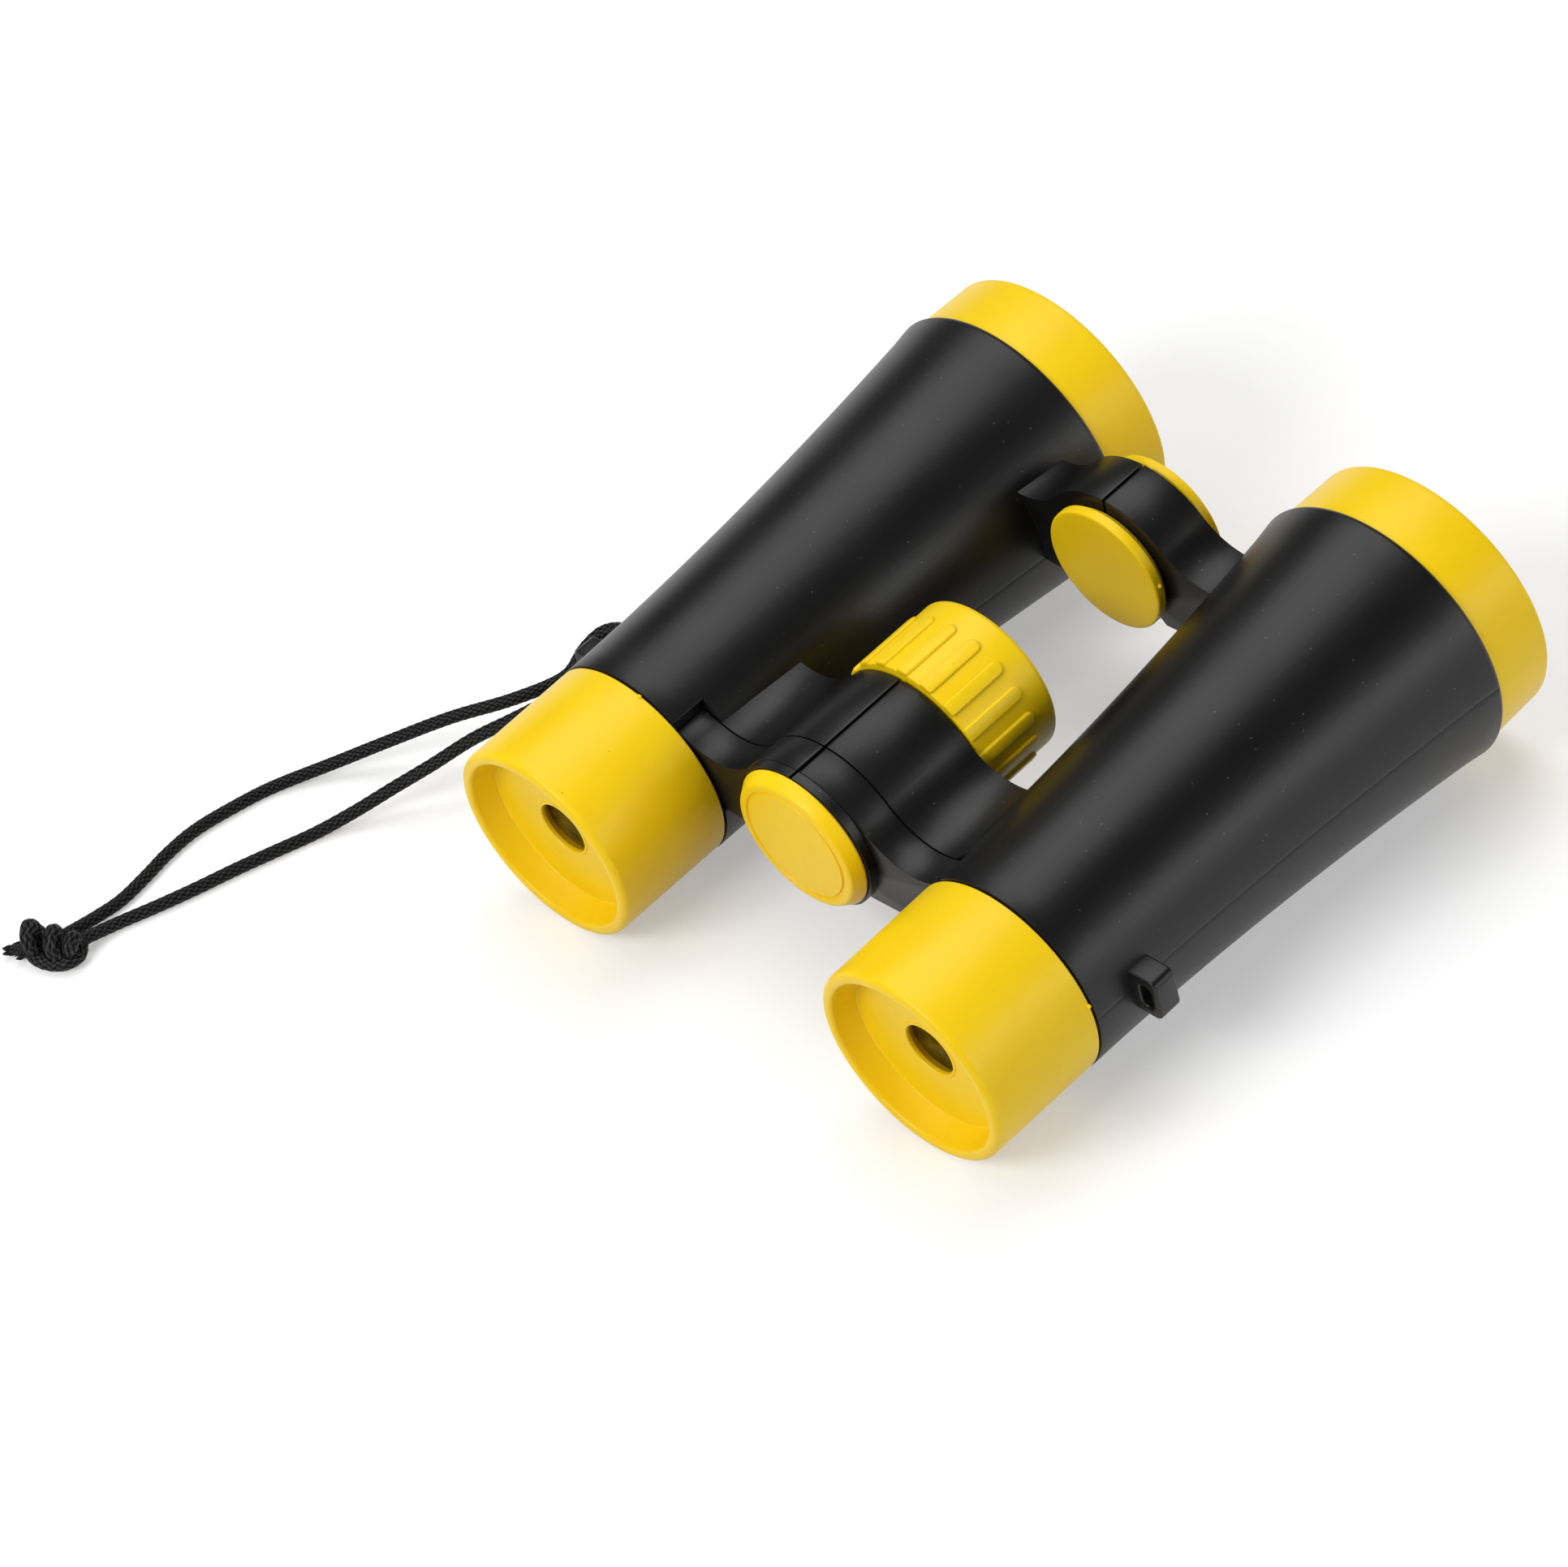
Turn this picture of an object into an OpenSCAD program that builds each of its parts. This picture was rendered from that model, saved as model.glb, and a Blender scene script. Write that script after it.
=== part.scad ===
// Toy binoculars: two flared barrels on a folding centre hinge, with a focus wheel, a sliding pair of
// eyepieces and a doubled neck cord through the left strap lug. Millimetres, +Y forwards, +Z up.
// The object rests on its eyecup rims and front shoulders, with the origin under the middle of its outline.

/* [Barrels] */
// Distance between the two optical axes, fully open
eye_distance = 70; // [67:0.5:76]
// Length of the black barrel moulding
barrel_len = 75; // [71:0.5:84]
// Outer radius of the front shoulder
barrel_front_r = 21.3; // [21.1:0.1:22]
// How late the flare comes: 1 is a straight cone
flare = 1.7; // [1.2:0.1:2.2]
// Wall of the barrel moulding
barrel_wall = 1.6; // [1.2:0.1:1.8]
// Rounding of the front shoulder's edge
shoulder_round = 1; // [0.4:0.1:1.2]
// Angle by which the parting plane rises towards the outer side
seam_angle = 4.2; // [0:0.2:6]

/* [Objective rings] */
// How far the yellow ring stands out of the shoulder
ring_out = 10.3; // [8:0.1:14]
// How far the ring's front edge stands in from the shoulder
ring_step = 0.95; // [0.9:0.05:1.2]
// Wall of the ring round the hood recess in front of the lens
hood_wall = 2.35; // [2:0.05:2.6]
// Rounding of the ring's front edges
ring_round = 0.7; // [0.3:0.1:0.9]
// How far the ring's tenon stands in from the shoulder
tenon_step = 2.15; // [2:0.05:2.3]
// Length of the tenon
tenon_len = 7.2; // [5:0.1:8]
// How far the edge of the objective lens stands in from the hood recess
lens_step = 2.2; // [1.8:0.1:2.6]
// Thickness of the objective lens at its middle
objective_t = 3.4; // [2.6:0.1:3.6]

/* [Eyepieces] */
// Outer radius of the eyecup at its barrel end
cup_base_r = 15.8; // [15.5:0.05:16]
// How much less that radius is at the rim
cup_taper = 0.15; // [0:0.05:0.3]
// Length of the eyecup
cup_len = 18.8; // [16.5:0.1:19]
// Gap between the eyecup and the barrel
cup_gap = 0.5; // [0.3:0.1:1]
// Width of the rim around the recess
rim_wall = 1.35; // [1.25:0.05:1.7]
// Depth of the recess
recess_depth = 3.6; // [2.5:0.1:4.5]
// How much less the radius of the recess is at its floor
recess_taper = 1.3; // [0.8:0.1:2]
// Thickness of the recess floor
floor_t = 1.6; // [1.2:0.1:2]
// Radius of the viewing aperture
aperture_r = 4.1; // [3:0.1:5]
// Radius of the eye lens
eye_lens_r = 7.5; // [6:0.1:9]
// Thickness of the eye lens at its rim
eye_lens_t = 2; // [1.6:0.1:2.6]
// Wall of the eyecup round the sliding eyepiece tube
cup_wall = 1.8; // [1.6:0.1:2.2]
// Wall of the eyepiece tube
tube_wall = 1.4; // [1:0.1:1.8]
// How far the tube reaches into the barrel
tube_in = 12.7; // [8:0.1:16]

/* [Hinge and bridges] */
// Height of the hinge axis above the optical axes
hinge_z = 6.7; // [5.5:0.1:7.5]
// Radius of the bridges' rounded crown
crown_r = 13.35; // [13:0.05:14]
// Height of the crown's centre above the optical axes
crown_z = 4.7; // [4.2:0.1:5.2]
// Radius of the hollow where the rear bridge runs into the barrels
rear_hollow_r = 10.1; // [9:0.1:11]
// Height of that hollow's centre
rear_hollow_z = 19; // [18:0.1:19.6]
// Radius of the hollow where the front bridge runs into the barrels
front_hollow_r = 9.9; // [9:0.1:11]
// Height of that hollow's centre
front_hollow_z = 19.9; // [19:0.1:20.4]
// Distance from the barrel's rear edge to the rear bridge
saddle_set = 5.7; // [5.6:0.1:6.5]
// Length of the rear bridge
saddle_len = 14.5; // [13:0.1:16]
// Distance from the barrel's rear edge to the front bridge
front_set = 60.6; // [58:0.1:62]
// Length of the front bridge
front_len = 8.25; // [7:0.05:8.6]
// Gap between the two halves along the crown
crown_gap = 0.5; // [0.3:0.1:0.8]
// Half angle of the V under the hinge, which lets the barrels fold together
fold_half_angle = 41; // [39:0.5:42]
// Outer radius of the knuckles
knuckle_r = 6.5; // [6:0.1:7]
// Outer radius of the rear hinge tube
hinge_tube_r = 4; // [3.6:0.1:4.4]
// Radius of the front hinge pin
front_pin_r = 2.5; // [2:0.1:3]
// Radius of the caps over the front hinge pin
pin_cap_r = 10; // [9.4:0.1:10.4]
// Thickness of a pin cap
pin_cap_t = 1.9; // [1.4:0.1:2.4]

/* [Focusing] */
// Outer radius of the focus wheel between its ribs
wheel_r = 12.3; // [11.6:0.1:12.6]
// Width of the focus wheel
wheel_w = 14.6; // [12:0.1:17]
// How far the ribs stand out
rib_h = 0.4; // [0.2:0.05:0.6]
// Number of ribs
rib_count = 18; // [12:1:24]
// Width of a rib
rib_w = 2.1; // [1.4:0.1:2.4]
// Length of a rib
rib_len = 10.4; // [8:0.1:11]
// Radius of the focusing screw
screw_r = 2.2; // [1.8:0.1:2.4]
// Thickness of the focusing bridge's arms
arm_t = 5; // [4.6:0.1:5]
// Radius of the rear cap's flange
cap_flange_r = 11.3; // [10.8:0.1:11.8]
// Radius of the rear cap's face
cap_face_r = 10.3; // [9.6:0.1:10.5]
// Thickness of the rear cap
cap_t = 2.25; // [2:0.05:3]
// Radius of the groove in the rear cap's face
cap_groove_r = 8.8; // [7.5:0.1:9.2]
// Radius of the black boss behind the rear cap
boss_r = 10.9; // [10.2:0.1:11.2]
// Thickness of that boss
boss_t = 1.25; // [1:0.05:1.5]

/* [Strap lugs and screws] */
// Distance from the optical axis to the lug's outer face
lug_reach = 20.2; // [20:0.1:21]
// Thickness of the lug along the barrel
lug_t = 3.7; // [3:0.1:5]
// Height of the lug
lug_h = 7.1; // [6.6:0.1:8]
// Distance from the barrel's rear edge to the lug
lug_set = 6.9; // [6.2:0.1:9]
// Width of the lug's slot, across
slot_w = 2.1; // [2:0.1:2.4]
// Height of the lug's slot
slot_h = 4; // [3:0.1:4.2]
// Distance from the barrel's rear edge to the rear pair of case screws
case_rear_set = 20.7; // [20:0.1:22]
// Distance from the barrel's rear edge to the front pair of case screws
case_front_set = 60.7; // [58:0.1:62]
// Radius of the case screws' shanks
case_screw_r = 1; // [0.8:0.05:1.2]
// Radius of the case screws' heads
case_head_r = 1.8; // [1.6:0.05:2]
// Wall of the screw bosses
boss_wall = 1.2; // [0.9:0.1:1.4]

/* [Cord] */
// Diameter of the neck cord
cord_d = 1.8; // [1.5:0.1:1.8]
// Radius of the knot
knot_r = 2.6; // [2.3:0.1:2.7]

/* [Clearances] */
// Radial clearance of a shaft that turns or slides in its bore
running = 0.05; // [0.03:0.01:0.08]
// Radial clearance of a piece seated in its own body
seated = 0.02; // [0.01:0.01:0.04]
// Clearance between faces that move past each other
free = 0.3; // [0.25:0.05:0.4]
// Axial gap between faces that turn on each other
face_gap = 0.1; // [0.08:0.02:0.14]

/* [Hidden] */
$fn = 96;

left = -1;
right = 1;
black = [0.11, 0.11, 0.11];
yellow = [0.95, 0.79, 0.16];
steel = [0.62, 0.62, 0.64];
brass = [0.78, 0.62, 0.3];
amber = [0.3, 0.16, 0.05];
cut = 0.01;
far = 60;

// Radii that follow from the walls and clearances around them
tube_r = cup_base_r - cup_wall;
barrel_rear_r = tube_r + free + barrel_wall;
cup_rim_r = cup_base_r - cup_taper;
recess_r = cup_rim_r - rim_wall;
recess_floor_r = recess_r - recess_taper;
ring_r = barrel_front_r - ring_step;
tenon_r = barrel_front_r - tenon_step;
hood_r = ring_r - hood_wall;
objective_r = hood_r - lens_step;

// Places along the optical axes, from the eyecups' rims
barrel_x = eye_distance / 2;
barrel_y0 = cup_len + cup_gap;
barrel_y1 = barrel_y0 + barrel_len;
ring_y1 = barrel_y1 + ring_out;
saddle_y0 = barrel_y0 + saddle_set;
saddle_y1 = saddle_y0 + saddle_len;
front_y0 = barrel_y0 + front_set;
front_y1 = front_y0 + front_len;
arm_y0 = barrel_y0 + 0.2;
arm_y1 = arm_y0 + arm_t;

// The barrel's outer radius at a distance y from the eyecup's rim
function barrel_r(y) = barrel_rear_r
    + (barrel_front_r - barrel_rear_r) * pow(max(0, (y - barrel_y0) / barrel_len), flare);

// The part rests on the rounded rims and the rounded shoulders, so both circles set its tilt
rim_round = 1;
rim_y = rim_round;
rim_z = cup_rim_r - rim_round;
shoulder_y = barrel_y1 - shoulder_round;
shoulder_z = barrel_front_r - shoulder_round;
rest_len = norm([shoulder_y - rim_y, shoulder_z - rim_z]);
tilt = atan2(shoulder_z - rim_z, shoulder_y - rim_y) - asin((rim_round - shoulder_round) / rest_len);
lift = rim_round + rim_z * cos(tilt) - rim_y * sin(tilt);
front_reach = (ring_y1 - ring_round) * cos(tilt) + (ring_r - ring_round) * sin(tilt) + ring_round;
rear_reach = rim_y * cos(tilt) - rim_z * sin(tilt) - rim_round;
shift_y = -(front_reach + rear_reach) / 2;

// Sets the part down on its rims and shoulders
module set_down() {
    translate([0, shift_y, lift]) rotate([tilt, 0, 0]) children();
}

// Turns a piece that is drawn for the right side into the left one
module on_side(side) {
    if (side == left) mirror([1, 0, 0]) children();
    else children();
}

// Revolves a profile (radius, distance) about an optical axis, or about the hinge axis
module about_barrel() {
    translate([barrel_x, 0, 0]) rotate([-90, 0, 0]) rotate_extrude() children();
}

module about_hinge() {
    translate([0, 0, hinge_z]) rotate([-90, 0, 0]) rotate_extrude() children();
}

// Rectangle of a profile, from radius r0 to r1 and from y0 to y1
module band(r0, r1, y0, y1) {
    translate([r0, y0]) square([r1 - r0, y1 - y0]);
}

// What a rounding of radius f takes off a profile's outer corner at (r, y); front is 1 or -1
module outer_corner(r, y, f, front) {
    translate([r - f, y - front * f]) difference() {
        translate([0, front > 0 ? 0 : -f - cut]) square(f + cut);
        circle(f);
    }
}

// What a rounding of radius f takes off a profile's inner corner at (r, y)
module inner_corner(r, y, f, front) {
    translate([r + f, y - front * f]) difference() {
        translate([-f - cut, front > 0 ? 0 : -f - cut]) square(f + cut);
        circle(f);
    }
}

// Barrel shells

profile_steps = 20;
function flare_points(inset, y0, y1) =
    [for (i = [0 : profile_steps]) let (y = y0 + (y1 - y0) * i / profile_steps) [barrel_r(y) - inset, y]];

// The shoulder's seat for the ring, and the bore that takes the ring's tenon
ring_seat = 0.6;
seat_r = tenon_r + seated;
seat_y0 = barrel_y1 - tenon_len - ring_seat;
mouth_r = ring_r + 0.3;

module barrel_outline() {
    difference() {
        polygon(concat([[0, barrel_y0]], flare_points(0, barrel_y0, shoulder_y),
            [[barrel_front_r, shoulder_y], [barrel_front_r, barrel_y1], [0, barrel_y1]]));
        outer_corner(barrel_front_r, barrel_y1, shoulder_round, 1);
    }
}

module barrel_hollow() {
    polygon(concat([[0, barrel_y0 - 1]], [[barrel_r(barrel_y0) - barrel_wall, barrel_y0 - 1]],
        flare_points(barrel_wall, barrel_y0, seat_y0), [[0, seat_y0]]));
    band(0, seat_r, seat_y0 - cut, barrel_y1 - ring_seat);
    band(0, mouth_r, barrel_y1 - ring_seat - cut, barrel_y1 + 1);
}

// Half spaces above and below the parting plane through the optical axis
module above_seam() {
    translate([barrel_x, 0, 0]) rotate([0, -seam_angle, 0]) translate([-far, -1, 0])
        cube([2 * far, barrel_y1 + 2, far]);
}

module below_seam() {
    translate([barrel_x, 0, 0]) rotate([0, -seam_angle, 0]) translate([-far, -1, -far])
        cube([2 * far, barrel_y1 + 2, far]);
}

// Case screws: two near the rear and two near the front of each barrel
screw_rows = [barrel_y0 + case_rear_set, barrel_y0 + case_front_set];
case_boss_r = case_screw_r + boss_wall;
head_z = -5.5;
screw_tip_z = 5;
function screw_dx(y) = barrel_r(y) - barrel_wall - case_boss_r + 0.4;

module at_case_screws() {
    for (y = screw_rows, s = [left, right])
        translate([barrel_x + s * screw_dx(y), y, 0]) children();
}

module case_bosses() {
    intersection() {
        about_barrel() barrel_outline();
        at_case_screws() translate([0, 0, -far / 2]) cylinder(r = case_boss_r, h = far);
    }
}

module case_screw_holes() {
    at_case_screws() {
        translate([0, 0, head_z - cut]) cylinder(r = case_screw_r + seated, h = screw_tip_z - head_z + 1);
        translate([0, 0, -far / 2]) cylinder(r = case_head_r + 0.1, h = far / 2 + head_z);
    }
}

module barrel_walls() {
    difference() {
        about_barrel() barrel_outline();
        about_barrel() barrel_hollow();
    }
    case_bosses();
}

// Outline of one bridge, right of the hinge: a crown that runs tangent into a hollow at the barrel
module bridge_outline(hollow_r, hollow_z, raise = 0) {
    hollow_x = sqrt(pow(crown_r + hollow_r, 2) - pow(hollow_z - crown_z, 2));
    under_z = -barrel_x * tan(seam_angle) + raise;
    difference() {
        union() {
            polygon([[0, under_z], [0, crown_z], [hollow_x, hollow_z], [barrel_x, 0], [barrel_x, raise]]);
            intersection() {
                translate([0, crown_z]) circle(crown_r);
                translate([0, crown_z]) square(crown_r);
            }
        }
        translate([hollow_x, hollow_z]) circle(hollow_r);
        // Gap along the crown
        translate([-crown_gap / 2, hinge_z]) square([crown_gap, far]);
        // The V under the hinge
        polygon([[-cut, hinge_z], [0, hinge_z], [far * tan(fold_half_angle), hinge_z - far],
            [-cut, hinge_z - far]]);
    }
}

module from_y(y0, y1) {
    translate([0, y1, 0]) rotate([90, 0, 0]) linear_extrude(y1 - y0) children();
}

module hinge_drum(r, y0, y1) {
    translate([0, y0, hinge_z]) rotate([-90, 0, 0]) cylinder(r = r, h = y1 - y0);
}

// A bridge leaf for the right side. own and other list the knuckles, each as [start, end].
module leaf(y0, y1, hollow_r, hollow_z, own, other, raise = 0) {
    difference() {
        from_y(y0, y1) bridge_outline(hollow_r, hollow_z, raise);
        for (k = other) hinge_drum(knuckle_r + free, k[0] - face_gap, k[1] + face_gap);
    }
    for (k = own) hinge_drum(knuckle_r, k[0], k[1]);
}

// Knuckles: the left half holds the outer ones and the right half the middle one
saddle_third = saddle_len / 3;
saddle_outer = [[saddle_y0, saddle_y0 + saddle_third - face_gap],
    [saddle_y1 - saddle_third + face_gap, saddle_y1]];
saddle_middle = [[saddle_y0 + saddle_third, saddle_y1 - saddle_third]];
front_third = front_len / 3;
front_outer = [[front_y0, front_y0 + front_third - face_gap],
    [front_y1 - front_third + face_gap, front_y1]];
front_middle = [[front_y0 + front_third, front_y1 - front_third]];

module leaves(side) {
    own_rear = side == left ? saddle_outer : saddle_middle;
    other_rear = side == left ? saddle_middle : saddle_outer;
    own_front = side == left ? front_outer : front_middle;
    other_front = side == left ? front_middle : front_outer;
    leaf(saddle_y0, saddle_y1, rear_hollow_r, rear_hollow_z, own_rear, other_rear);
    leaf(front_y0, front_y1, front_hollow_r, front_hollow_z, own_front, other_front);
}

module hinge_bores(side) {
    fit = side == left ? seated : running;
    hinge_drum(hinge_tube_r + fit, saddle_y0 - 1, saddle_y1 + 1);
    hinge_drum(front_pin_r + fit, front_y0 - 1, front_y1 + 1);
}

// The strap lug: a rounded plate with a slot, on the barrel's outer side
lug_y0 = barrel_y0 + lug_set;
lug_z = 0.6;
lug_round = 1.6;
slot_x = lug_reach - 1.2 - slot_w / 2;

module lug() {
    translate([barrel_x, lug_y0 + lug_t, lug_z]) rotate([90, 0, 0]) linear_extrude(lug_t) difference() {
        union() {
            translate([0, -lug_h / 2]) square([lug_reach - lug_round, lug_h]);
            translate([0, lug_round - lug_h / 2]) square([lug_reach, lug_h - 2 * lug_round]);
            for (s = [-1, 1])
                translate([lug_reach - lug_round, s * (lug_h / 2 - lug_round)]) circle(lug_round);
        }
        translate([slot_x - slot_w / 2, slot_w / 2 - slot_h / 2]) square([slot_w, slot_h - slot_w]);
        for (s = [-1, 1]) translate([slot_x, s * (slot_h - slot_w) / 2]) circle(slot_w / 2);
    }
}

// The notch in the barrel's rear edge through which the focusing arm reaches the eyepiece tube
notch_top_angle = 50;
notch_low_angle = 20;

module arm_notch() {
    translate([barrel_x, barrel_y0 - 1, 0]) rotate([-90, 0, 0]) intersection() {
        cylinder(r = barrel_rear_r + 2, h = saddle_set + 1);
        linear_extrude(saddle_set + 1)
            polygon([[0, 0], [-far * cos(notch_low_angle), far * sin(notch_low_angle)], [-far, -far],
                [-far * cos(notch_top_angle), -far * sin(notch_top_angle)]]);
    }
}

module barrel_top(side) {
    color(black) set_down() on_side(side) difference() {
        union() {
            intersection() {
                barrel_walls();
                above_seam();
            }
            difference() {
                union() {
                    leaves(side);
                    difference() {
                        lug();
                        intersection() {
                            about_barrel() offset_barrel();
                            below_seam();
                        }
                    }
                }
                about_barrel() solid_barrel();
            }
        }
        arm_notch();
        hinge_bores(side);
        case_screw_holes();
    }
}

// The barrel without its leaves and lug: as far in as the middle of the wall, and a hair outside its surface
module solid_barrel() {
    polygon(concat([[0, barrel_y0]], flare_points(barrel_wall / 2, barrel_y0, seat_y0), [[0, seat_y0]]));
    band(0, seat_r + 0.3, seat_y0 - cut, barrel_y1);
}

module offset_barrel() {
    polygon(concat([[0, barrel_y0]], flare_points(-0.1, barrel_y0, shoulder_y), [[0, shoulder_y]]));
}

module barrel_bottom(side) {
    color(black) set_down() on_side(side) difference() {
        intersection() {
            barrel_walls();
            below_seam();
        }
        case_screw_holes();
    }
}

module case_screws(side) {
    color(steel) set_down() on_side(side) at_case_screws() {
        translate([0, 0, head_z]) cylinder(r = case_screw_r, h = screw_tip_z - head_z);
        translate([0, 0, head_z - 1.4]) cylinder(r = case_head_r, h = 1.4);
    }
}

// Objective rings, lenses and their retainers

lens_rim_t = objective_t - 1.4;
lens_seat_y = barrel_y1 - 2.4;
lens_lip = 1;
retainer_y0 = lens_seat_y + lens_rim_t;
retainer_t = 1.6;
retainer_y1 = retainer_y0 + retainer_t;
retainer_r = hood_r - 0.5;

module objective_ring(side) {
    color(yellow) set_down() on_side(side) about_barrel() difference() {
        union() {
            band(0, tenon_r, seat_y0, barrel_y1 - 0.4);
            polygon([[0, barrel_y1 - ring_seat], [mouth_r - 0.05, barrel_y1 - ring_seat], [ring_r, ring_y1],
                [0, ring_y1]]);
        }
        outer_corner(ring_r, ring_y1, ring_round, 1);
        inner_corner(hood_r, ring_y1, ring_round, 1);
        band(0, hood_r, retainer_y1, ring_y1 + 1);
        band(0, retainer_r + seated, retainer_y0, retainer_y1 + cut);
        band(0, objective_r + seated, lens_seat_y, retainer_y0 + 1);
        band(0, objective_r - lens_lip, barrel_y0, ring_y1);
    }
}

// A round lens with a flat rim and two curved faces within clear_r, each of them bulge high
module lens_profile(r, clear_r, rim_t, bulge) {
    ball = (clear_r * clear_r + bulge * bulge) / (2 * bulge);
    band(0, r, 0, rim_t);
    intersection() {
        band(0, clear_r, -bulge, rim_t + bulge);
        translate([0, rim_t + bulge - ball]) circle(ball, $fn = 360);
        translate([0, ball - bulge]) circle(ball, $fn = 360);
    }
}

module objective_lens(side) {
    color(amber) set_down() on_side(side) about_barrel() translate([0, lens_seat_y])
        lens_profile(objective_r, objective_r - lens_lip - 0.4, lens_rim_t, (objective_t - lens_rim_t) / 2);
}

module lens_retainer(side) {
    color(black) set_down() on_side(side) about_barrel() difference() {
        band(objective_r - 1.2, retainer_r, retainer_y0, retainer_y1);
        translate([objective_r - 1.2, retainer_y1]) rotate(45) square(1, center = true);
    }
}

// Eyecups, eye lenses and the focusing arms with their tubes

eye_lens_y = recess_depth + floor_t;
eye_lens_ball = 12;
eye_lens_dip = 0.6;
tube_y0 = eye_lens_y + eye_lens_t;
tube_y1 = barrel_y0 + tube_in;
tube_end_t = 1.4;

module eyecup(side) {
    color(yellow) set_down() on_side(side) about_barrel() difference() {
        union() {
            difference() {
                polygon([[0, 0], [cup_rim_r, 0], [cup_rim_r, rim_round],
                    [cup_base_r, cup_len], [0, cup_len]]);
                outer_corner(cup_rim_r, 0, rim_round, -1);
                band(0, tube_r + seated, eye_lens_y, cup_len + 1);
            }
            band(eye_lens_r + seated, eye_lens_r + 1.2, eye_lens_y - cut, eye_lens_y + eye_lens_t - 0.2);
        }
        polygon([[0, -1], [recess_r, -1], [recess_r, 0], [recess_floor_r, recess_depth], [0, recess_depth]]);
        inner_corner(recess_r, 0, (cup_rim_r - recess_r) / 3, -1);
        band(0, aperture_r, -1, cup_len);
    }
}

module eye_lens(side) {
    color(amber) set_down() on_side(side) about_barrel() translate([0, eye_lens_y]) difference() {
        band(0, eye_lens_r, 0, eye_lens_t);
        translate([0, eye_lens_t - eye_lens_dip + eye_lens_ball]) circle(eye_lens_ball, $fn = 360);
        translate([0, eye_lens_dip - eye_lens_ball]) circle(eye_lens_ball, $fn = 360);
    }
}

// The nut fills the arms' knuckles, with its flange in the front one
arm_middle = (arm_y0 + arm_y1) / 2;
boss_y0 = arm_y0 - 0.2 - boss_t;
nut_r = hinge_tube_r;
nut_flange_r = knuckle_r - 0.9;
nut_flange_t = 0.8;
nut_y0 = boss_y0 + 0.5;
left_knuckle = [[arm_y0, arm_middle - face_gap / 2]];
right_knuckle = [[arm_middle + face_gap / 2, arm_y1]];

module focus_arm(side) {
    color(black) set_down() on_side(side) difference() {
        union() {
            difference() {
                leaf(arm_y0, arm_y1, rear_hollow_r, rear_hollow_z,
                    side == left ? left_knuckle : right_knuckle,
                    side == left ? right_knuckle : left_knuckle, free);
                about_barrel() band(0, tube_r - tube_wall / 2, arm_y0 - 1, arm_y1 + 1);
            }
            about_barrel() difference() {
                band(0, tube_r, tube_y0, tube_y1);
                band(0, tube_r - tube_wall, tube_y0 + tube_end_t, tube_y1 + 1);
                band(0, eye_lens_r - 1, tube_y0 - 1, tube_y1);
            }
            if (side == left) {
                about_hinge() difference() {
                    band(0, boss_r, boss_y0, arm_y0 - 0.2);
                    outer_corner(boss_r, boss_y0, 0.3, -1);
                }
                hinge_drum(knuckle_r - 0.1, boss_y0 + 0.5, arm_y0 + 0.5);
            }
        }
        hinge_drum(nut_r + (side == left ? seated : running), boss_y0 - 1, arm_y1 + 1);
        if (side == right)
            hinge_drum(nut_flange_r + free, arm_y1 - nut_flange_t - face_gap, arm_y1 + 1);
    }
}

module focus_nut() {
    color(brass) set_down() about_hinge() difference() {
        union() {
            band(0, nut_r, nut_y0, arm_y1);
            band(0, nut_flange_r, arm_y1 - nut_flange_t, arm_y1);
        }
        band(0, screw_r + running, nut_y0 - 1, arm_y1 + 1);
    }
}

cap_y0 = boss_y0 - cap_t;

module rear_cap() {
    color(yellow) set_down() about_hinge() difference() {
        union() {
            band(0, cap_face_r, cap_y0, boss_y0);
            band(0, cap_flange_r, boss_y0 - cap_t / 2, boss_y0);
            band(0, nut_r - running, boss_y0 - cut, nut_y0 - 0.05);
        }
        outer_corner(cap_face_r, cap_y0, 0.3, -1);
        outer_corner(cap_flange_r, boss_y0 - cap_t / 2, 0.3, -1);
        band(cap_groove_r - 0.25, cap_groove_r + 0.25, cap_y0 - 1, cap_y0 + 0.4);
        band(0, screw_r + 0.6, cap_y0 + 1, boss_y0 + 1);
    }
}

// Focus wheel, its screw and what holds them

washer_t = 0.3;
wheel_y0 = saddle_y1 + washer_t + face_gap;
wheel_y1 = wheel_y0 + wheel_w;
wheel_wall = 2.2;
wheel_web = 3;
hub_r = 4.6;
hub_set = 3;
hub_y1 = wheel_y1 - hub_set;
wheel_screw_len = 6;
clip_y0 = saddle_y0 + 0.3;
clip_t = 0.8;
clip_groove_r = screw_r - 0.5;
clip_r = hinge_tube_r - 0.6;
tube_start = clip_y0 + clip_t + 0.2;

module focus_wheel() {
    color(yellow) set_down() {
        about_hinge() difference() {
            band(0, wheel_r, wheel_y0, wheel_y1);
            band(hub_r, wheel_r - wheel_wall, wheel_y0 + wheel_web, wheel_y1 + 1);
            band(0, hub_r + cut, hub_y1, wheel_y1 + 1);
            band(0, screw_r + seated, wheel_y0 - 1, wheel_y1);
            outer_corner(wheel_r, wheel_y1, 1, 1);
            outer_corner(wheel_r, wheel_y0, 0.3, -1);
        }
        intersection() {
            hinge_drum(wheel_r + rib_h, wheel_y0, wheel_y1);
            translate([0, wheel_y0, hinge_z]) for (i = [0 : rib_count - 1])
                rotate([0, i * 360 / rib_count, 0]) translate([0, 0, wheel_r - 0.8]) linear_extrude(2) {
                    translate([-rib_w / 2, 0]) square([rib_w, rib_len - rib_w / 2]);
                    translate([0, rib_len - rib_w / 2]) circle(rib_w / 2);
                }
        }
    }
}

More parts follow.
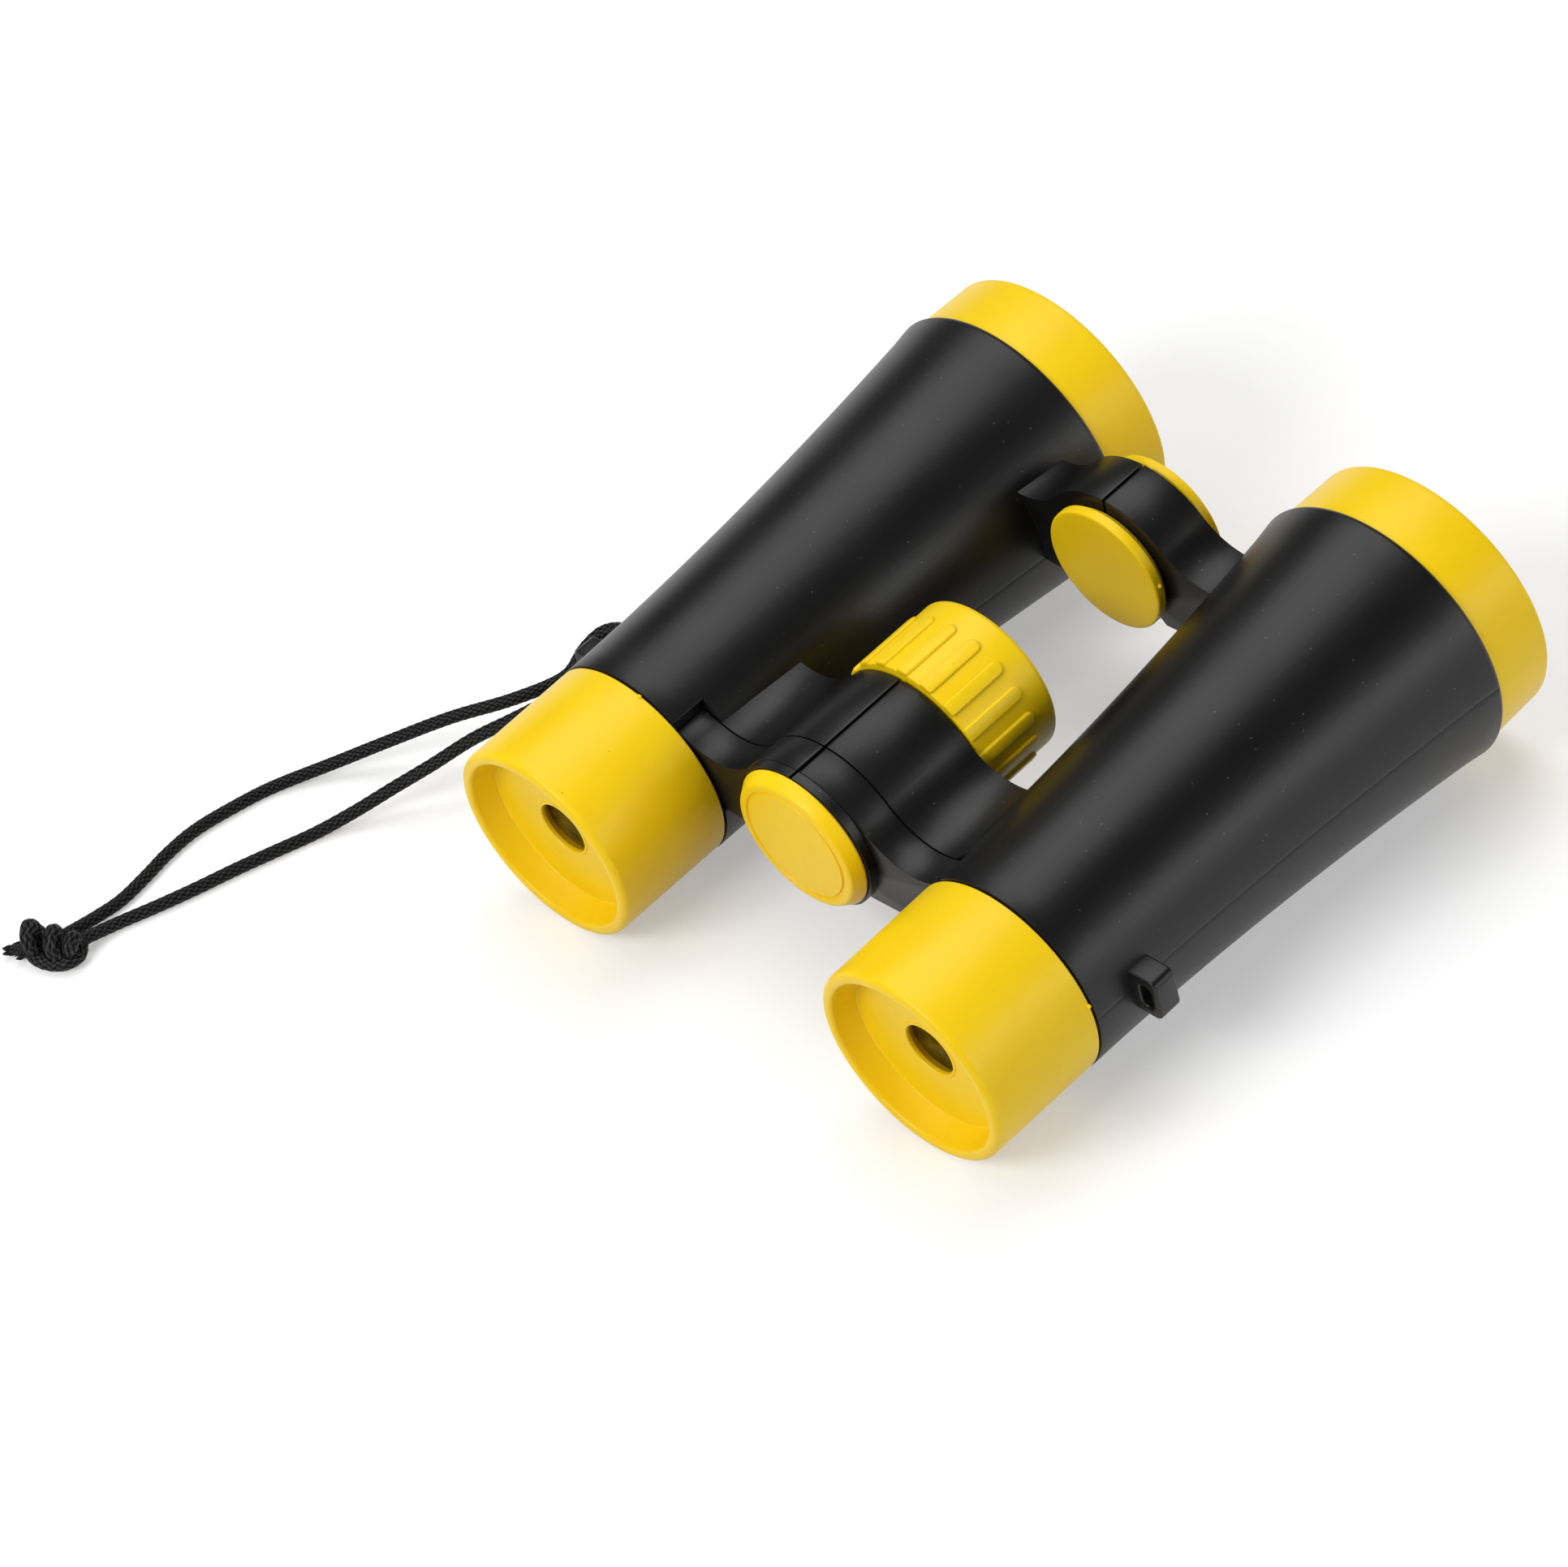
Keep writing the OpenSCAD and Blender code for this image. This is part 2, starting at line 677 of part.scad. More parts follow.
module focus_screw() {
    color(steel) set_down() difference() {
        about_hinge() difference() {
            band(0, screw_r, cap_y0 + 1.3, hub_y1 - 0.2);
            band(clip_groove_r, screw_r + 1, clip_y0, clip_y0 + clip_t);
        }
        hinge_drum(case_screw_r + seated, hub_y1 - wheel_screw_len - 1, hub_y1);
    }
}

module wheel_screw() {
    color(steel) set_down() about_hinge() {
        band(0, case_screw_r, hub_y1 - wheel_screw_len, hub_y1 + cut);
        difference() {
            band(0, screw_r + 1, hub_y1, hub_y1 + 1.3);
            outer_corner(screw_r + 1, hub_y1 + 1.3, 0.5, 1);
        }
    }
}

module screw_clip() {
    color(steel) set_down() translate([0, clip_y0 + 0.05, hinge_z]) rotate([-90, 0, 0])
        linear_extrude(clip_t - 0.1) difference() {
            circle(clip_r);
            circle(clip_groove_r + seated);
            translate([0, -clip_groove_r * 0.8]) square([far, clip_groove_r * 1.6]);
        }
}

module thrust_washer() {
    color(steel) set_down() about_hinge()
        band(screw_r + free, knuckle_r - 0.5, saddle_y1, saddle_y1 + washer_t);
}

module hinge_tube() {
    color(steel) set_down() about_hinge() band(screw_r + running, hinge_tube_r, tube_start, saddle_y1);
}

// Front hinge pin and its two caps, one on each face of the front bridge

pin_boss_t = 0.7;
pin_boss_r = pin_cap_r - 0.9;
pin_cap_gap = 0.2;
pin_in_cap = 1.5;
pin_y0 = front_y0 - pin_cap_gap - pin_in_cap;
pin_y1 = front_y1 + pin_cap_gap + pin_in_cap;

module front_hinge_pin() {
    color(steel) set_down() about_hinge() band(0, front_pin_r, pin_y0, pin_y1);
}

// A slightly domed cap; direction is 1 for the front face and -1 for the rear one
module pin_cap(face_y, direction) {
    dome = 0.35;
    ball = (pin_cap_r * pin_cap_r + dome * dome) / (2 * dome);
    top = pin_boss_t + pin_cap_t;
    color(yellow) set_down() translate([0, face_y, hinge_z]) rotate([-90 * direction, 0, 0]) rotate_extrude()
        difference() {
            union() {
                band(0, pin_boss_r, 0, pin_boss_t + cut);
                band(0, pin_cap_r, pin_boss_t, top - dome);
                intersection() {
                    band(0, pin_cap_r, top - dome - cut, top);
                    translate([0, top - ball]) circle(ball, $fn = 720);
                }
            }
            outer_corner(pin_cap_r, top - dome, 0.45, 1);
            band(0, front_pin_r + seated, -1, pin_in_cap + 0.05);
        }
}

module front_pin_rear_cap() {
    pin_cap(front_y0 - pin_cap_gap, -1);
}

module front_pin_front_cap() {
    pin_cap(front_y1 + pin_cap_gap, 1);
}

// The neck cord: one doubled cord, which meets itself inside the lug's slot and ends in a knot.
// Both routes start in the slot; the outer one first goes round the front of the lug.

outer_route = [[-53, -24.4, 17.9], [-53, -20.8, 18.1], [-54, -18.1, 17.9], [-56.6, -16.9, 17.2],
    [-59.2, -18.2, 16], [-60.3, -21, 14.3], [-60.5, -25.2, 12.1], [-64.3, -32, 11],
    [-70.8, -38.4, 8.9], [-78.2, -44.1, 4.9], [-84.3, -50.8, 2.1], [-89, -58.6, 0.9], [-90.6, -64.6, 0.9],
    [-91.7, -71.3, 0.9], [-91.4, -76.9, 0.9], [-90.4, -82.2, 0.9], [-89.7, -87.3, 0.9],
    [-90, -91.8, 1], [-90.2, -97.4, 1.8]];
inner_route = [[-53, -24.4, 17.9], [-53, -28, 17.7], [-55.5, -33.2, 15.9], [-59.1, -36.6, 13.4],
    [-63.6, -40.7, 10.4], [-67.3, -45.8, 7.4], [-71.2, -50.6, 4.4], [-74.3, -56.1, 2.2], [-76.9, -61.6, 0.9],
    [-78.9, -67.5, 0.9], [-80.8, -73.2, 0.9], [-82.6, -79.3, 0.9], [-84.5, -85, 0.9], [-86.6, -91, 1],
    [-87.6, -97, 1.8]];
knot_centre = [-89.6, -99.8, 2.7];
knot_turn = 19;
knot_straight = 4.6;
long_tail = [[-92.6, -101.2, 1.7], [-95.4, -104.2, 1]];
short_tail = [[-91, -101.6, 1.5], [-92.6, -103.9, 1]];

// Points between the route's own, on a curve that passes through every one of them
function between(p0, p1, p2, p3, t) = 0.5 * (2 * p1 + (p2 - p0) * t
    + (2 * p0 - 5 * p1 + 4 * p2 - p3) * t * t + (3 * p1 - p0 - 3 * p2 + p3) * t * t * t);
function eased(route) = let (last = len(route) - 1) concat(
    [for (i = [0 : last - 1], t = [0, 0.5])
        between(route[max(i - 1, 0)], route[i], route[i + 1], route[min(i + 2, last)], t)],
    [route[last]]);

function unit(v) = v / norm(v);
// Direction of a route at point i
function route_way(route, i) = unit(route[min(i + 1, len(route) - 1)] - route[max(i - 1, 0)]);
function flat_side(way) = unit(cross(way, [0, 0, 1]));

// One tube swept along a route of points
module swept_cord(route) {
    sides = 8;
    last = len(route) - 1;
    points = [for (i = [0 : last]) let (way = route_way(route, i), u = flat_side(way), v = cross(u, way))
        for (k = [0 : sides - 1]) route[i] + cord_d / 2 * (u * cos(45 * k + 22.5) + v * sin(45 * k + 22.5))];
    ring_faces = [for (i = [0 : last - 1], k = [0 : sides - 1]) let (n = (k + 1) % sides)
        each [[i * sides + k, (i + 1) * sides + k, (i + 1) * sides + n],
            [i * sides + k, (i + 1) * sides + n, i * sides + n]]];
    start_cap = [[for (k = [0 : sides - 1]) k]];
    end_cap = [[for (k = [sides - 1 : -1 : 0]) last * sides + k]];
    polyhedron(points, concat(ring_faces, start_cap, end_cap), convexity = 6);
}

module cord_outer_strand() {
    color(black) swept_cord(eased(outer_route));
}

module cord_inner_strand() {
    color(black) swept_cord(eased(inner_route));
}

module cord_knot() {
    color(black) {
        translate(knot_centre) rotate([0, 0, knot_turn]) rotate([0, 90, 0]) rotate_extrude() {
            band(0, knot_r, -knot_straight / 2, knot_straight / 2);
            for (s = [-1, 1]) intersection() {
                translate([0, s * knot_straight / 2]) circle(knot_r);
                band(0, knot_r, -far, far);
            }
        }
        for (tail = [long_tail, short_tail]) let (run = tail[1] - tail[0], length = norm(run))
            translate(tail[0]) rotate([0, acos(run[2] / length), atan2(run[1], run[0])])
                cylinder(r = cord_d / 2, h = length);
    }
}

barrel_top(left);  // left_barrel_top
barrel_top(right);  // right_barrel_top
barrel_bottom(left);  // left_barrel_bottom
barrel_bottom(right);  // right_barrel_bottom
objective_ring(left);  // left_objective_ring
objective_ring(right);  // right_objective_ring
objective_lens(left);  // left_objective_lens
objective_lens(right);  // right_objective_lens
lens_retainer(left);  // left_lens_retainer
lens_retainer(right);  // right_lens_retainer
eyecup(left);  // left_eyecup
eyecup(right);  // right_eyecup
eye_lens(left);  // left_eye_lens
eye_lens(right);  // right_eye_lens
focus_arm(left);  // left_focus_arm
focus_arm(right);  // right_focus_arm
case_screws(left);  // left_case_screws
case_screws(right);  // right_case_screws
focus_wheel();
focus_screw();
wheel_screw();
screw_clip();
thrust_washer();
focus_nut();
rear_cap();
hinge_tube();
front_hinge_pin();
front_pin_rear_cap();
front_pin_front_cap();
cord_outer_strand();
cord_inner_strand();
cord_knot();
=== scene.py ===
import math

import bmesh
import bpy
from mathutils import Matrix, Vector


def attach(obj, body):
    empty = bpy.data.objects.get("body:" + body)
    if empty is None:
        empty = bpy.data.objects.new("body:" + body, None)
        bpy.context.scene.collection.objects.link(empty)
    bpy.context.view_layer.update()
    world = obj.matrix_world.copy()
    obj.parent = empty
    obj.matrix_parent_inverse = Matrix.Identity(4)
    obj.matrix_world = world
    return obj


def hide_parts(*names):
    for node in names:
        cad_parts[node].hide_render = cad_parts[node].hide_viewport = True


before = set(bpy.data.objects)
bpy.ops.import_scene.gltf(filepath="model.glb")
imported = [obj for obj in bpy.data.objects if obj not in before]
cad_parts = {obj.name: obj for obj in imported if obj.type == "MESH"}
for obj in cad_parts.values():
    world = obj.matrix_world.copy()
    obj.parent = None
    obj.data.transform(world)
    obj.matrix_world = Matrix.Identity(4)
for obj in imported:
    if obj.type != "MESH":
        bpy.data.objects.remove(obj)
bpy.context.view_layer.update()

# Toy binoculars. Sizes are in millimetres in the barrels' own frame: the origin lies midway between the
# barrels' axes, just inside the rear ends of the eyecups, +Y runs forwards along the axes, and +Z is up.
# Every finished piece is then turned and lifted so that the toy rests on its eyecup rims and its front
# shoulders.
MM = 0.001
TILT = 3.5029
SHIFT_Y = -52.3548
LIFT = 15.5615
SET_DOWN = Matrix.Translation((0, SHIFT_Y * MM, LIFT * MM)) @ Matrix.Rotation(math.radians(TILT), 4, "X")

LEFT = -1
RIGHT = 1
SIDE_NAME = {LEFT: "left", RIGHT: "right"}

BARREL_X = 35
BARREL_REAR = 19.3
BARREL_FRONT = 94.3
SEAM_ANGLE = 4.2
WALL = 1.6
HINGE_Z = 6.7
TURN_STEPS = 144
DRUM_STEPS = 96
SMOOTH_ANGLE = 35
MERGE_M = 1e-6

# Camera, standing behind and to the right of the toy

bpy.ops.object.camera_add(location=(0.492066, -0.403904, 0.602734),
                          rotation=[math.radians(a) for a in (46.571538, 8.887185, 44.942074)])
camera = bpy.context.object
camera.name = "photo_camera"
camera.data.lens = 145.73
camera.data.sensor_fit = "HORIZONTAL"
camera.data.sensor_width = 36
camera.data.clip_start = 0.05
camera.data.clip_end = 20
bpy.context.scene.camera = camera
bpy.context.scene.view_settings.view_transform = "Standard"


# Small tools of the bench

def deselect():
    if bpy.context.mode != "OBJECT":
        bpy.ops.object.mode_set(mode="OBJECT")
    bpy.ops.object.select_all(action="DESELECT")


def pick(piece):
    deselect()
    piece.select_set(True)
    bpy.context.view_layer.objects.active = piece


def edit(piece):
    pick(piece)
    bpy.ops.object.mode_set(mode="EDIT")
    bpy.ops.mesh.select_mode(type="VERT")
    bpy.ops.mesh.select_all(action="SELECT")


def leave_edit():
    bpy.ops.object.mode_set(mode="OBJECT")


def use_modifier(piece, kind, **values):
    pick(piece)
    bpy.ops.object.modifier_add(type=kind)
    modifier = piece.modifiers[-1]
    for key, value in values.items():
        setattr(modifier, key, value)
    bpy.ops.object.modifier_apply(modifier=modifier.name)


def round_edges(piece, width, segments=2, angle=40):
    use_modifier(piece, "BEVEL", width=width * MM, segments=segments, limit_method="ANGLE",
                 angle_limit=math.radians(angle), miter_outer="MITER_ARC", use_clamp_overlap=True)


def cut_away(piece, cutter, operation="DIFFERENCE"):
    """Take the cutter's shape out of a piece, or add it, and throw the cutter away."""
    use_modifier(piece, "BOOLEAN", object=cutter, operation=operation, solver="EXACT")
    pick(cutter)
    bpy.ops.object.delete()


def tidy_mesh(piece):
    edit(piece)
    bpy.ops.mesh.remove_doubles(threshold=MERGE_M)
    bpy.ops.mesh.delete_loose()
    bpy.ops.mesh.select_all(action="SELECT")
    bpy.ops.mesh.normals_make_consistent(inside=False)
    leave_edit()


def settle(piece):
    """Bring a piece's own place and turn into its mesh."""
    pick(piece)
    bpy.ops.object.transform_apply(location=True, rotation=True, scale=True)


def arc(cx, cy, r, start, end, steps):
    """Points of an arc about (cx, cy), angles in degrees."""
    turns = [math.radians(start + (end - start) * i / steps) for i in range(steps + 1)]
    return [(cx + r * math.cos(t), cy + r * math.sin(t)) for t in turns]


def draw_line(name, points):
    """Draw a closed line by extruding a single vertex from point to point."""
    deselect()
    points = [Vector(p) * MM for p in points]
    bpy.ops.mesh.primitive_plane_add(size=1 * MM, location=points[0])
    piece = bpy.context.object
    piece.name = piece.data.name = name
    edit(piece)
    bpy.ops.mesh.merge(type="CENTER")
    for start, end in zip(points, points[1:] + points[:1]):
        bpy.ops.mesh.extrude_region_move(TRANSFORM_OT_translate={"value": end - start})
    bpy.ops.mesh.select_all(action="SELECT")
    bpy.ops.mesh.remove_doubles(threshold=MERGE_M)
    leave_edit()
    return piece


def turned(name, section, x=0.0, z=HINGE_Z, steps=TURN_STEPS, start=0.0, sweep=360.0):
    """Spin a closed section of (radius, distance) points about an axis along Y."""
    turn = math.radians(start)
    piece = draw_line(name, [(x + r * math.cos(turn), y, z + r * math.sin(turn)) for r, y in section])
    edit(piece)
    if sweep < 360:
        bpy.ops.mesh.edge_face_add()
    bpy.ops.mesh.spin(steps=steps, angle=math.radians(sweep), center=(x * MM, 0, z * MM), axis=(0, 1, 0))
    leave_edit()
    settle(piece)
    tidy_mesh(piece)
    return piece


def slab(name, outline, y0, y1):
    """Fill an outline of (x, z) points and extrude it forwards from y0 to y1."""
    piece = draw_line(name, [(x, y0, z) for x, z in outline])
    edit(piece)
    bpy.ops.mesh.edge_face_add()
    bpy.ops.mesh.extrude_region_move(TRANSFORM_OT_translate={"value": (0, (y1 - y0) * MM, 0)})
    leave_edit()
    settle(piece)
    tidy_mesh(piece)
    return piece


def drum(r, y0, y1, x=0.0, z=HINGE_Z):
    """A plain drum along Y, to cut with or to add."""
    deselect()
    bpy.ops.mesh.primitive_cylinder_add(vertices=DRUM_STEPS, radius=r * MM, depth=(y1 - y0) * MM,
                                        location=(x * MM, (y0 + y1) / 2 * MM, z * MM),
                                        rotation=(math.pi / 2, 0, 0))
    piece = bpy.context.object
    settle(piece)
    return piece


def mirrored(piece):
    """Turn a piece made for the right side into the left one."""
    piece.scale.x = -1
    settle(piece)
    edit(piece)
    bpy.ops.mesh.normals_make_consistent(inside=False)
    leave_edit()


def join(piece, others):
    pick(piece)
    for other in others:
        other.select_set(True)
    bpy.ops.object.join()


def finish_piece(piece, body, material, nodes):
    """Set a piece down in its place, give it its finish, join it to its body, and hide the solid model's
    pieces it stands in for.
    """
    piece.matrix_world = SET_DOWN
    settle(piece)
    bpy.ops.object.shade_smooth_by_angle(angle=math.radians(SMOOTH_ANGLE))
    piece.data.materials.clear()
    piece.data.materials.append(material)
    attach(piece, body)
    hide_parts(*nodes)


# Finishes

def new_group(name, inputs, outputs):
    tree = bpy.data.node_groups.new(name, "ShaderNodeTree")
    for label, kind, value in inputs:
        socket = tree.interface.new_socket(label, in_out="INPUT", socket_type=kind)
        socket.default_value = value
    for label, kind in outputs:
        tree.interface.new_socket(label, in_out="OUTPUT", socket_type=kind)
    return tree, tree.nodes.new("NodeGroupInput"), tree.nodes.new("NodeGroupOutput")


def add_node(tree, kind, links=None, **values):
    """Add a node, set its values, and link its inputs by name or number."""
    node = tree.nodes.new(kind)
    for key, value in values.items():
        setattr(node, key, value)
    for key, source in (links or {}).items():
        if isinstance(source, (int, float, tuple)):
            node.inputs[key].default_value = source
        else:
            tree.links.new(source, node.inputs[key])
    return node


def moulding_grain_group():
    """Fine grain, drawn-out mould lines and cloudy gloss of a moulded plastic skin."""
    tree, given, out = new_group("moulding_grain", [
        ("Grain size", "NodeSocketFloat", 2600.0), ("Gloss", "NodeSocketFloat", 0.4),
        ("Gloss spread", "NodeSocketFloat", 0.1), ("Lines", "NodeSocketFloat", 0.3)],
        [("Tone", "NodeSocketFloat"), ("Roughness", "NodeSocketFloat"), ("Height", "NodeSocketFloat")])
    place = add_node(tree, "ShaderNodeTexCoord").outputs["Object"]
    grain = add_node(tree, "ShaderNodeTexNoise", {"Vector": place, "Scale": given.outputs["Grain size"],
                                                  "Detail": 3.0, "Roughness": 0.6})
    clouds = add_node(tree, "ShaderNodeTexNoise", {"Vector": place, "Scale": 55.0, "Detail": 4.0,
                                                   "Roughness": 0.55})
    drawn = add_node(tree, "ShaderNodeMapping", {"Vector": place, "Scale": (900.0, 9.0, 900.0)})
    lines = add_node(tree, "ShaderNodeTexNoise", {"Vector": drawn.outputs[0], "Scale": 1.0, "Detail": 2.0})
    tone = add_node(tree, "ShaderNodeMapRange", {"Value": clouds.outputs["Fac"], "From Min": 0.3,
                                                 "From Max": 0.7, "To Min": 0.0, "To Max": 1.0})
    spread = add_node(tree, "ShaderNodeMath", {0: clouds.outputs["Fac"], 1: 0.5}, operation="SUBTRACT")
    spread = add_node(tree, "ShaderNodeMath", {0: spread.outputs[0], 1: given.outputs["Gloss spread"]},
                      operation="MULTIPLY")
    rough = add_node(tree, "ShaderNodeMath", {0: spread.outputs[0], 1: given.outputs["Gloss"]},
                     operation="ADD")
    weighted = add_node(tree, "ShaderNodeMath", {0: lines.outputs["Fac"], 1: given.outputs["Lines"]},
                        operation="MULTIPLY")
    height = add_node(tree, "ShaderNodeMath", {0: weighted.outputs[0], 1: grain.outputs["Fac"]},
                      operation="ADD")
    tree.links.new(tone.outputs[0], out.inputs["Tone"])
    tree.links.new(rough.outputs[0], out.inputs["Roughness"])
    tree.links.new(height.outputs[0], out.inputs["Height"])
    return tree


def dust_group():
    """Sparse pale specks, as dust and tiny nicks leave them."""
    tree, given, out = new_group("dust_specks", [
        ("Size", "NodeSocketFloat", 900.0), ("Share", "NodeSocketFloat", 0.05)],
        [("Mask", "NodeSocketFloat")])
    place = add_node(tree, "ShaderNodeTexCoord").outputs["Object"]
    specks = add_node(tree, "ShaderNodeTexVoronoi", {"Vector": place, "Scale": given.outputs["Size"]})
    split = add_node(tree, "ShaderNodeSeparateColor", {0: specks.outputs["Color"]})
    chosen = add_node(tree, "ShaderNodeMath", {0: split.outputs[0], 1: given.outputs["Share"]},
                      operation="LESS_THAN")
    near = add_node(tree, "ShaderNodeMapRange", {"Value": specks.outputs["Distance"], "From Min": 0.05,
                                                 "From Max": 0.16, "To Min": 1.0, "To Max": 0.0})
    mask = add_node(tree, "ShaderNodeMath", {0: chosen.outputs[0], 1: near.outputs[0]},
                    operation="MULTIPLY")
    tree.links.new(mask.outputs[0], out.inputs["Mask"])
    return tree


GRAIN = moulding_grain_group()
DUST = dust_group()


def new_material(name):
    material = bpy.data.materials.new(name)
    material.use_nodes = True
    tree = material.node_tree
    return material, tree, tree.nodes["Principled BSDF"]


def use_group(tree, group, values):
    node = tree.nodes.new("ShaderNodeGroup")
    node.node_tree = group
    for key, value in values.items():
        node.inputs[key].default_value = value
    return node


def plastic(name, dark, light, speck, gloss, gloss_spread, bump, lines, share):
    """Moulded plastic: two near tones, its grain, and a few specks."""
    material, tree, shader = new_material(name)
    grain = use_group(tree, GRAIN, {"Grain size": 2600.0, "Gloss": gloss, "Gloss spread": gloss_spread,
                                    "Lines": lines})
    dust = use_group(tree, DUST, {"Size": 900.0, "Share": share})
    base = add_node(tree, "ShaderNodeMix", {0: grain.outputs["Tone"]}, data_type="RGBA")
    base.inputs[6].default_value = (*dark, 1)
    base.inputs[7].default_value = (*light, 1)
    skin = add_node(tree, "ShaderNodeMix", {0: dust.outputs["Mask"], 6: base.outputs[2]}, data_type="RGBA")
    skin.inputs[7].default_value = (*speck, 1)
    tree.links.new(skin.outputs[2], shader.inputs["Base Color"])
    tree.links.new(grain.outputs["Roughness"], shader.inputs["Roughness"])
    relief = add_node(tree, "ShaderNodeBump", {"Height": grain.outputs["Height"], "Strength": bump,
                                               "Distance": 0.00005})
    tree.links.new(relief.outputs["Normal"], shader.inputs["Normal"])
    return material, shader


black_plastic, shader = plastic("black_plastic", dark=(0.003, 0.003, 0.0031),
                                light=(0.0045, 0.0045, 0.0047), speck=(0.06, 0.06, 0.06), gloss=0.37,
                                gloss_spread=0.14, bump=0.2, lines=1.0, share=0.1)
shader.inputs["Specular IOR Level"].default_value = 0.38

yellow_plastic, shader = plastic("yellow_plastic", dark=(0.87, 0.572, 0.003),
                                 light=(0.92, 0.628, 0.006), speck=(0.55, 0.30, 0.01), gloss=0.36,
                                 gloss_spread=0.14, bump=0.06, lines=0.4, share=0.02)
shader.inputs["Specular IOR Level"].default_value = 0.25
shader.inputs["Subsurface Weight"].default_value = 0.12
shader.inputs["Subsurface Radius"].default_value = (1.0, 0.6, 0.1)
shader.inputs["Subsurface Scale"].default_value = 0.001


def metal(name, dark, light, gloss, spread):
    """Machined metal with faint turning marks and a cloudy plating."""
    material, tree, shader = new_material(name)
    grain = use_group(tree, GRAIN, {"Grain size": 5200.0, "Gloss": gloss, "Gloss spread": spread,
                                    "Lines": 0.6})
    base = add_node(tree, "ShaderNodeMix", {0: grain.outputs["Tone"]}, data_type="RGBA")
    base.inputs[6].default_value = (*dark, 1)
    base.inputs[7].default_value = (*light, 1)
    tree.links.new(base.outputs[2], shader.inputs["Base Color"])
    tree.links.new(grain.outputs["Roughness"], shader.inputs["Roughness"])
    relief = add_node(tree, "ShaderNodeBump", {"Height": grain.outputs["Height"], "Strength": 0.08,
                                               "Distance": 0.00003})
    tree.links.new(relief.outputs["Normal"], shader.inputs["Normal"])
    shader.inputs["Metallic"].default_value = 1.0
    return material


steel = metal("zinc_plated_steel", dark=(0.52, 0.53, 0.55), light=(0.66, 0.67, 0.69), gloss=0.3, spread=0.2)
brass = metal("turned_brass", dark=(0.62, 0.42, 0.16), light=(0.74, 0.55, 0.25), gloss=0.28, spread=0.2)


def lens_glass():
    """Amber lens: coloured glass with faint smudges on its polish."""
    material, tree, shader = new_material("amber_lens")
    place = add_node(tree, "ShaderNodeTexCoord").outputs["Object"]
    smudge = add_node(tree, "ShaderNodeTexNoise", {"Vector": place, "Scale": 380.0, "Detail": 4.0})
    cloud = add_node(tree, "ShaderNodeMapRange", {"Value": smudge.outputs["Fac"], "From Min": 0.4,
                                                  "From Max": 0.62, "To Min": 0.0, "To Max": 1.0})
    tone = add_node(tree, "ShaderNodeMix", {0: cloud.outputs[0]}, data_type="RGBA")
    tone.inputs[6].default_value = (0.14, 0.085, 0.004, 1)
    tone.inputs[7].default_value = (0.46, 0.29, 0.02, 1)
    rough = add_node(tree, "ShaderNodeMapRange", {"Value": smudge.outputs["Fac"], "From Min": 0.4,
                                                  "From Max": 0.8, "To Min": 0.02, "To Max": 0.12})
    tree.links.new(tone.outputs[2], shader.inputs["Base Color"])
    tree.links.new(rough.outputs[0], shader.inputs["Roughness"])
    shader.inputs["Transmission Weight"].default_value = 0.7
    shader.inputs["IOR"].default_value = 1.49
    shader.inputs["Specular IOR Level"].default_value = 0.2
    return material


amber_lens = lens_glass()


def cord_material():
    """Braided cord: painted shade darkens the grooves between the threads and dims their gloss there, by a
    mask that the mesh carries as an attribute.
    """
    material, tree, shader = new_material("braided_cord")
    groove_shade = add_node(tree, "ShaderNodeAttribute", attribute_name="groove_shade")
    place = add_node(tree, "ShaderNodeTexCoord").outputs["Object"]
    fuzz = add_node(tree, "ShaderNodeTexNoise", {"Vector": place, "Scale": 5200.0, "Detail": 3.0})
    blend = add_node(tree, "ShaderNodeMath", {0: groove_shade.outputs["Fac"], 1: fuzz.outputs["Fac"]},
                     operation="MULTIPLY")
    tone = add_node(tree, "ShaderNodeMix", {0: blend.outputs[0]}, data_type="RGBA")
    # Painted shade: the dark tone lies in the grooves and the lighter one on the raised threads, broken up
    # by fibre fuzz
    tone.inputs[6].default_value = (0.001, 0.001, 0.001, 1)
    tone.inputs[7].default_value = (0.022, 0.022, 0.022, 1)
    tree.links.new(tone.outputs[2], shader.inputs["Base Color"])
    rough = add_node(tree, "ShaderNodeMapRange", {"Value": fuzz.outputs["Fac"], "To Min": 0.36,
                                                  "To Max": 0.6})
    tree.links.new(rough.outputs[0], shader.inputs["Roughness"])
    # Painted shade on the gloss as well: the grooves reflect less than the raised threads
    groove_shaded_gloss = add_node(tree, "ShaderNodeMapRange", {"Value": groove_shade.outputs["Fac"], "To Min": 0.02,
                                                  "To Max": 0.5})
    tree.links.new(groove_shaded_gloss.outputs[0], shader.inputs["Specular IOR Level"])
    relief = add_node(tree, "ShaderNodeBump", {"Height": fuzz.outputs["Fac"], "Strength": 0.4,
                                               "Distance": 0.00005})
    tree.links.new(relief.outputs["Normal"], shader.inputs["Normal"])
    shader.inputs["Sheen Weight"].default_value = 0.04
    shader.inputs["Sheen Roughness"].default_value = 0.4
    return material


braided_cord = cord_material()

# The neck cord. Its routes are in the set-down frame, in millimetres, and follow the solid model's cord.

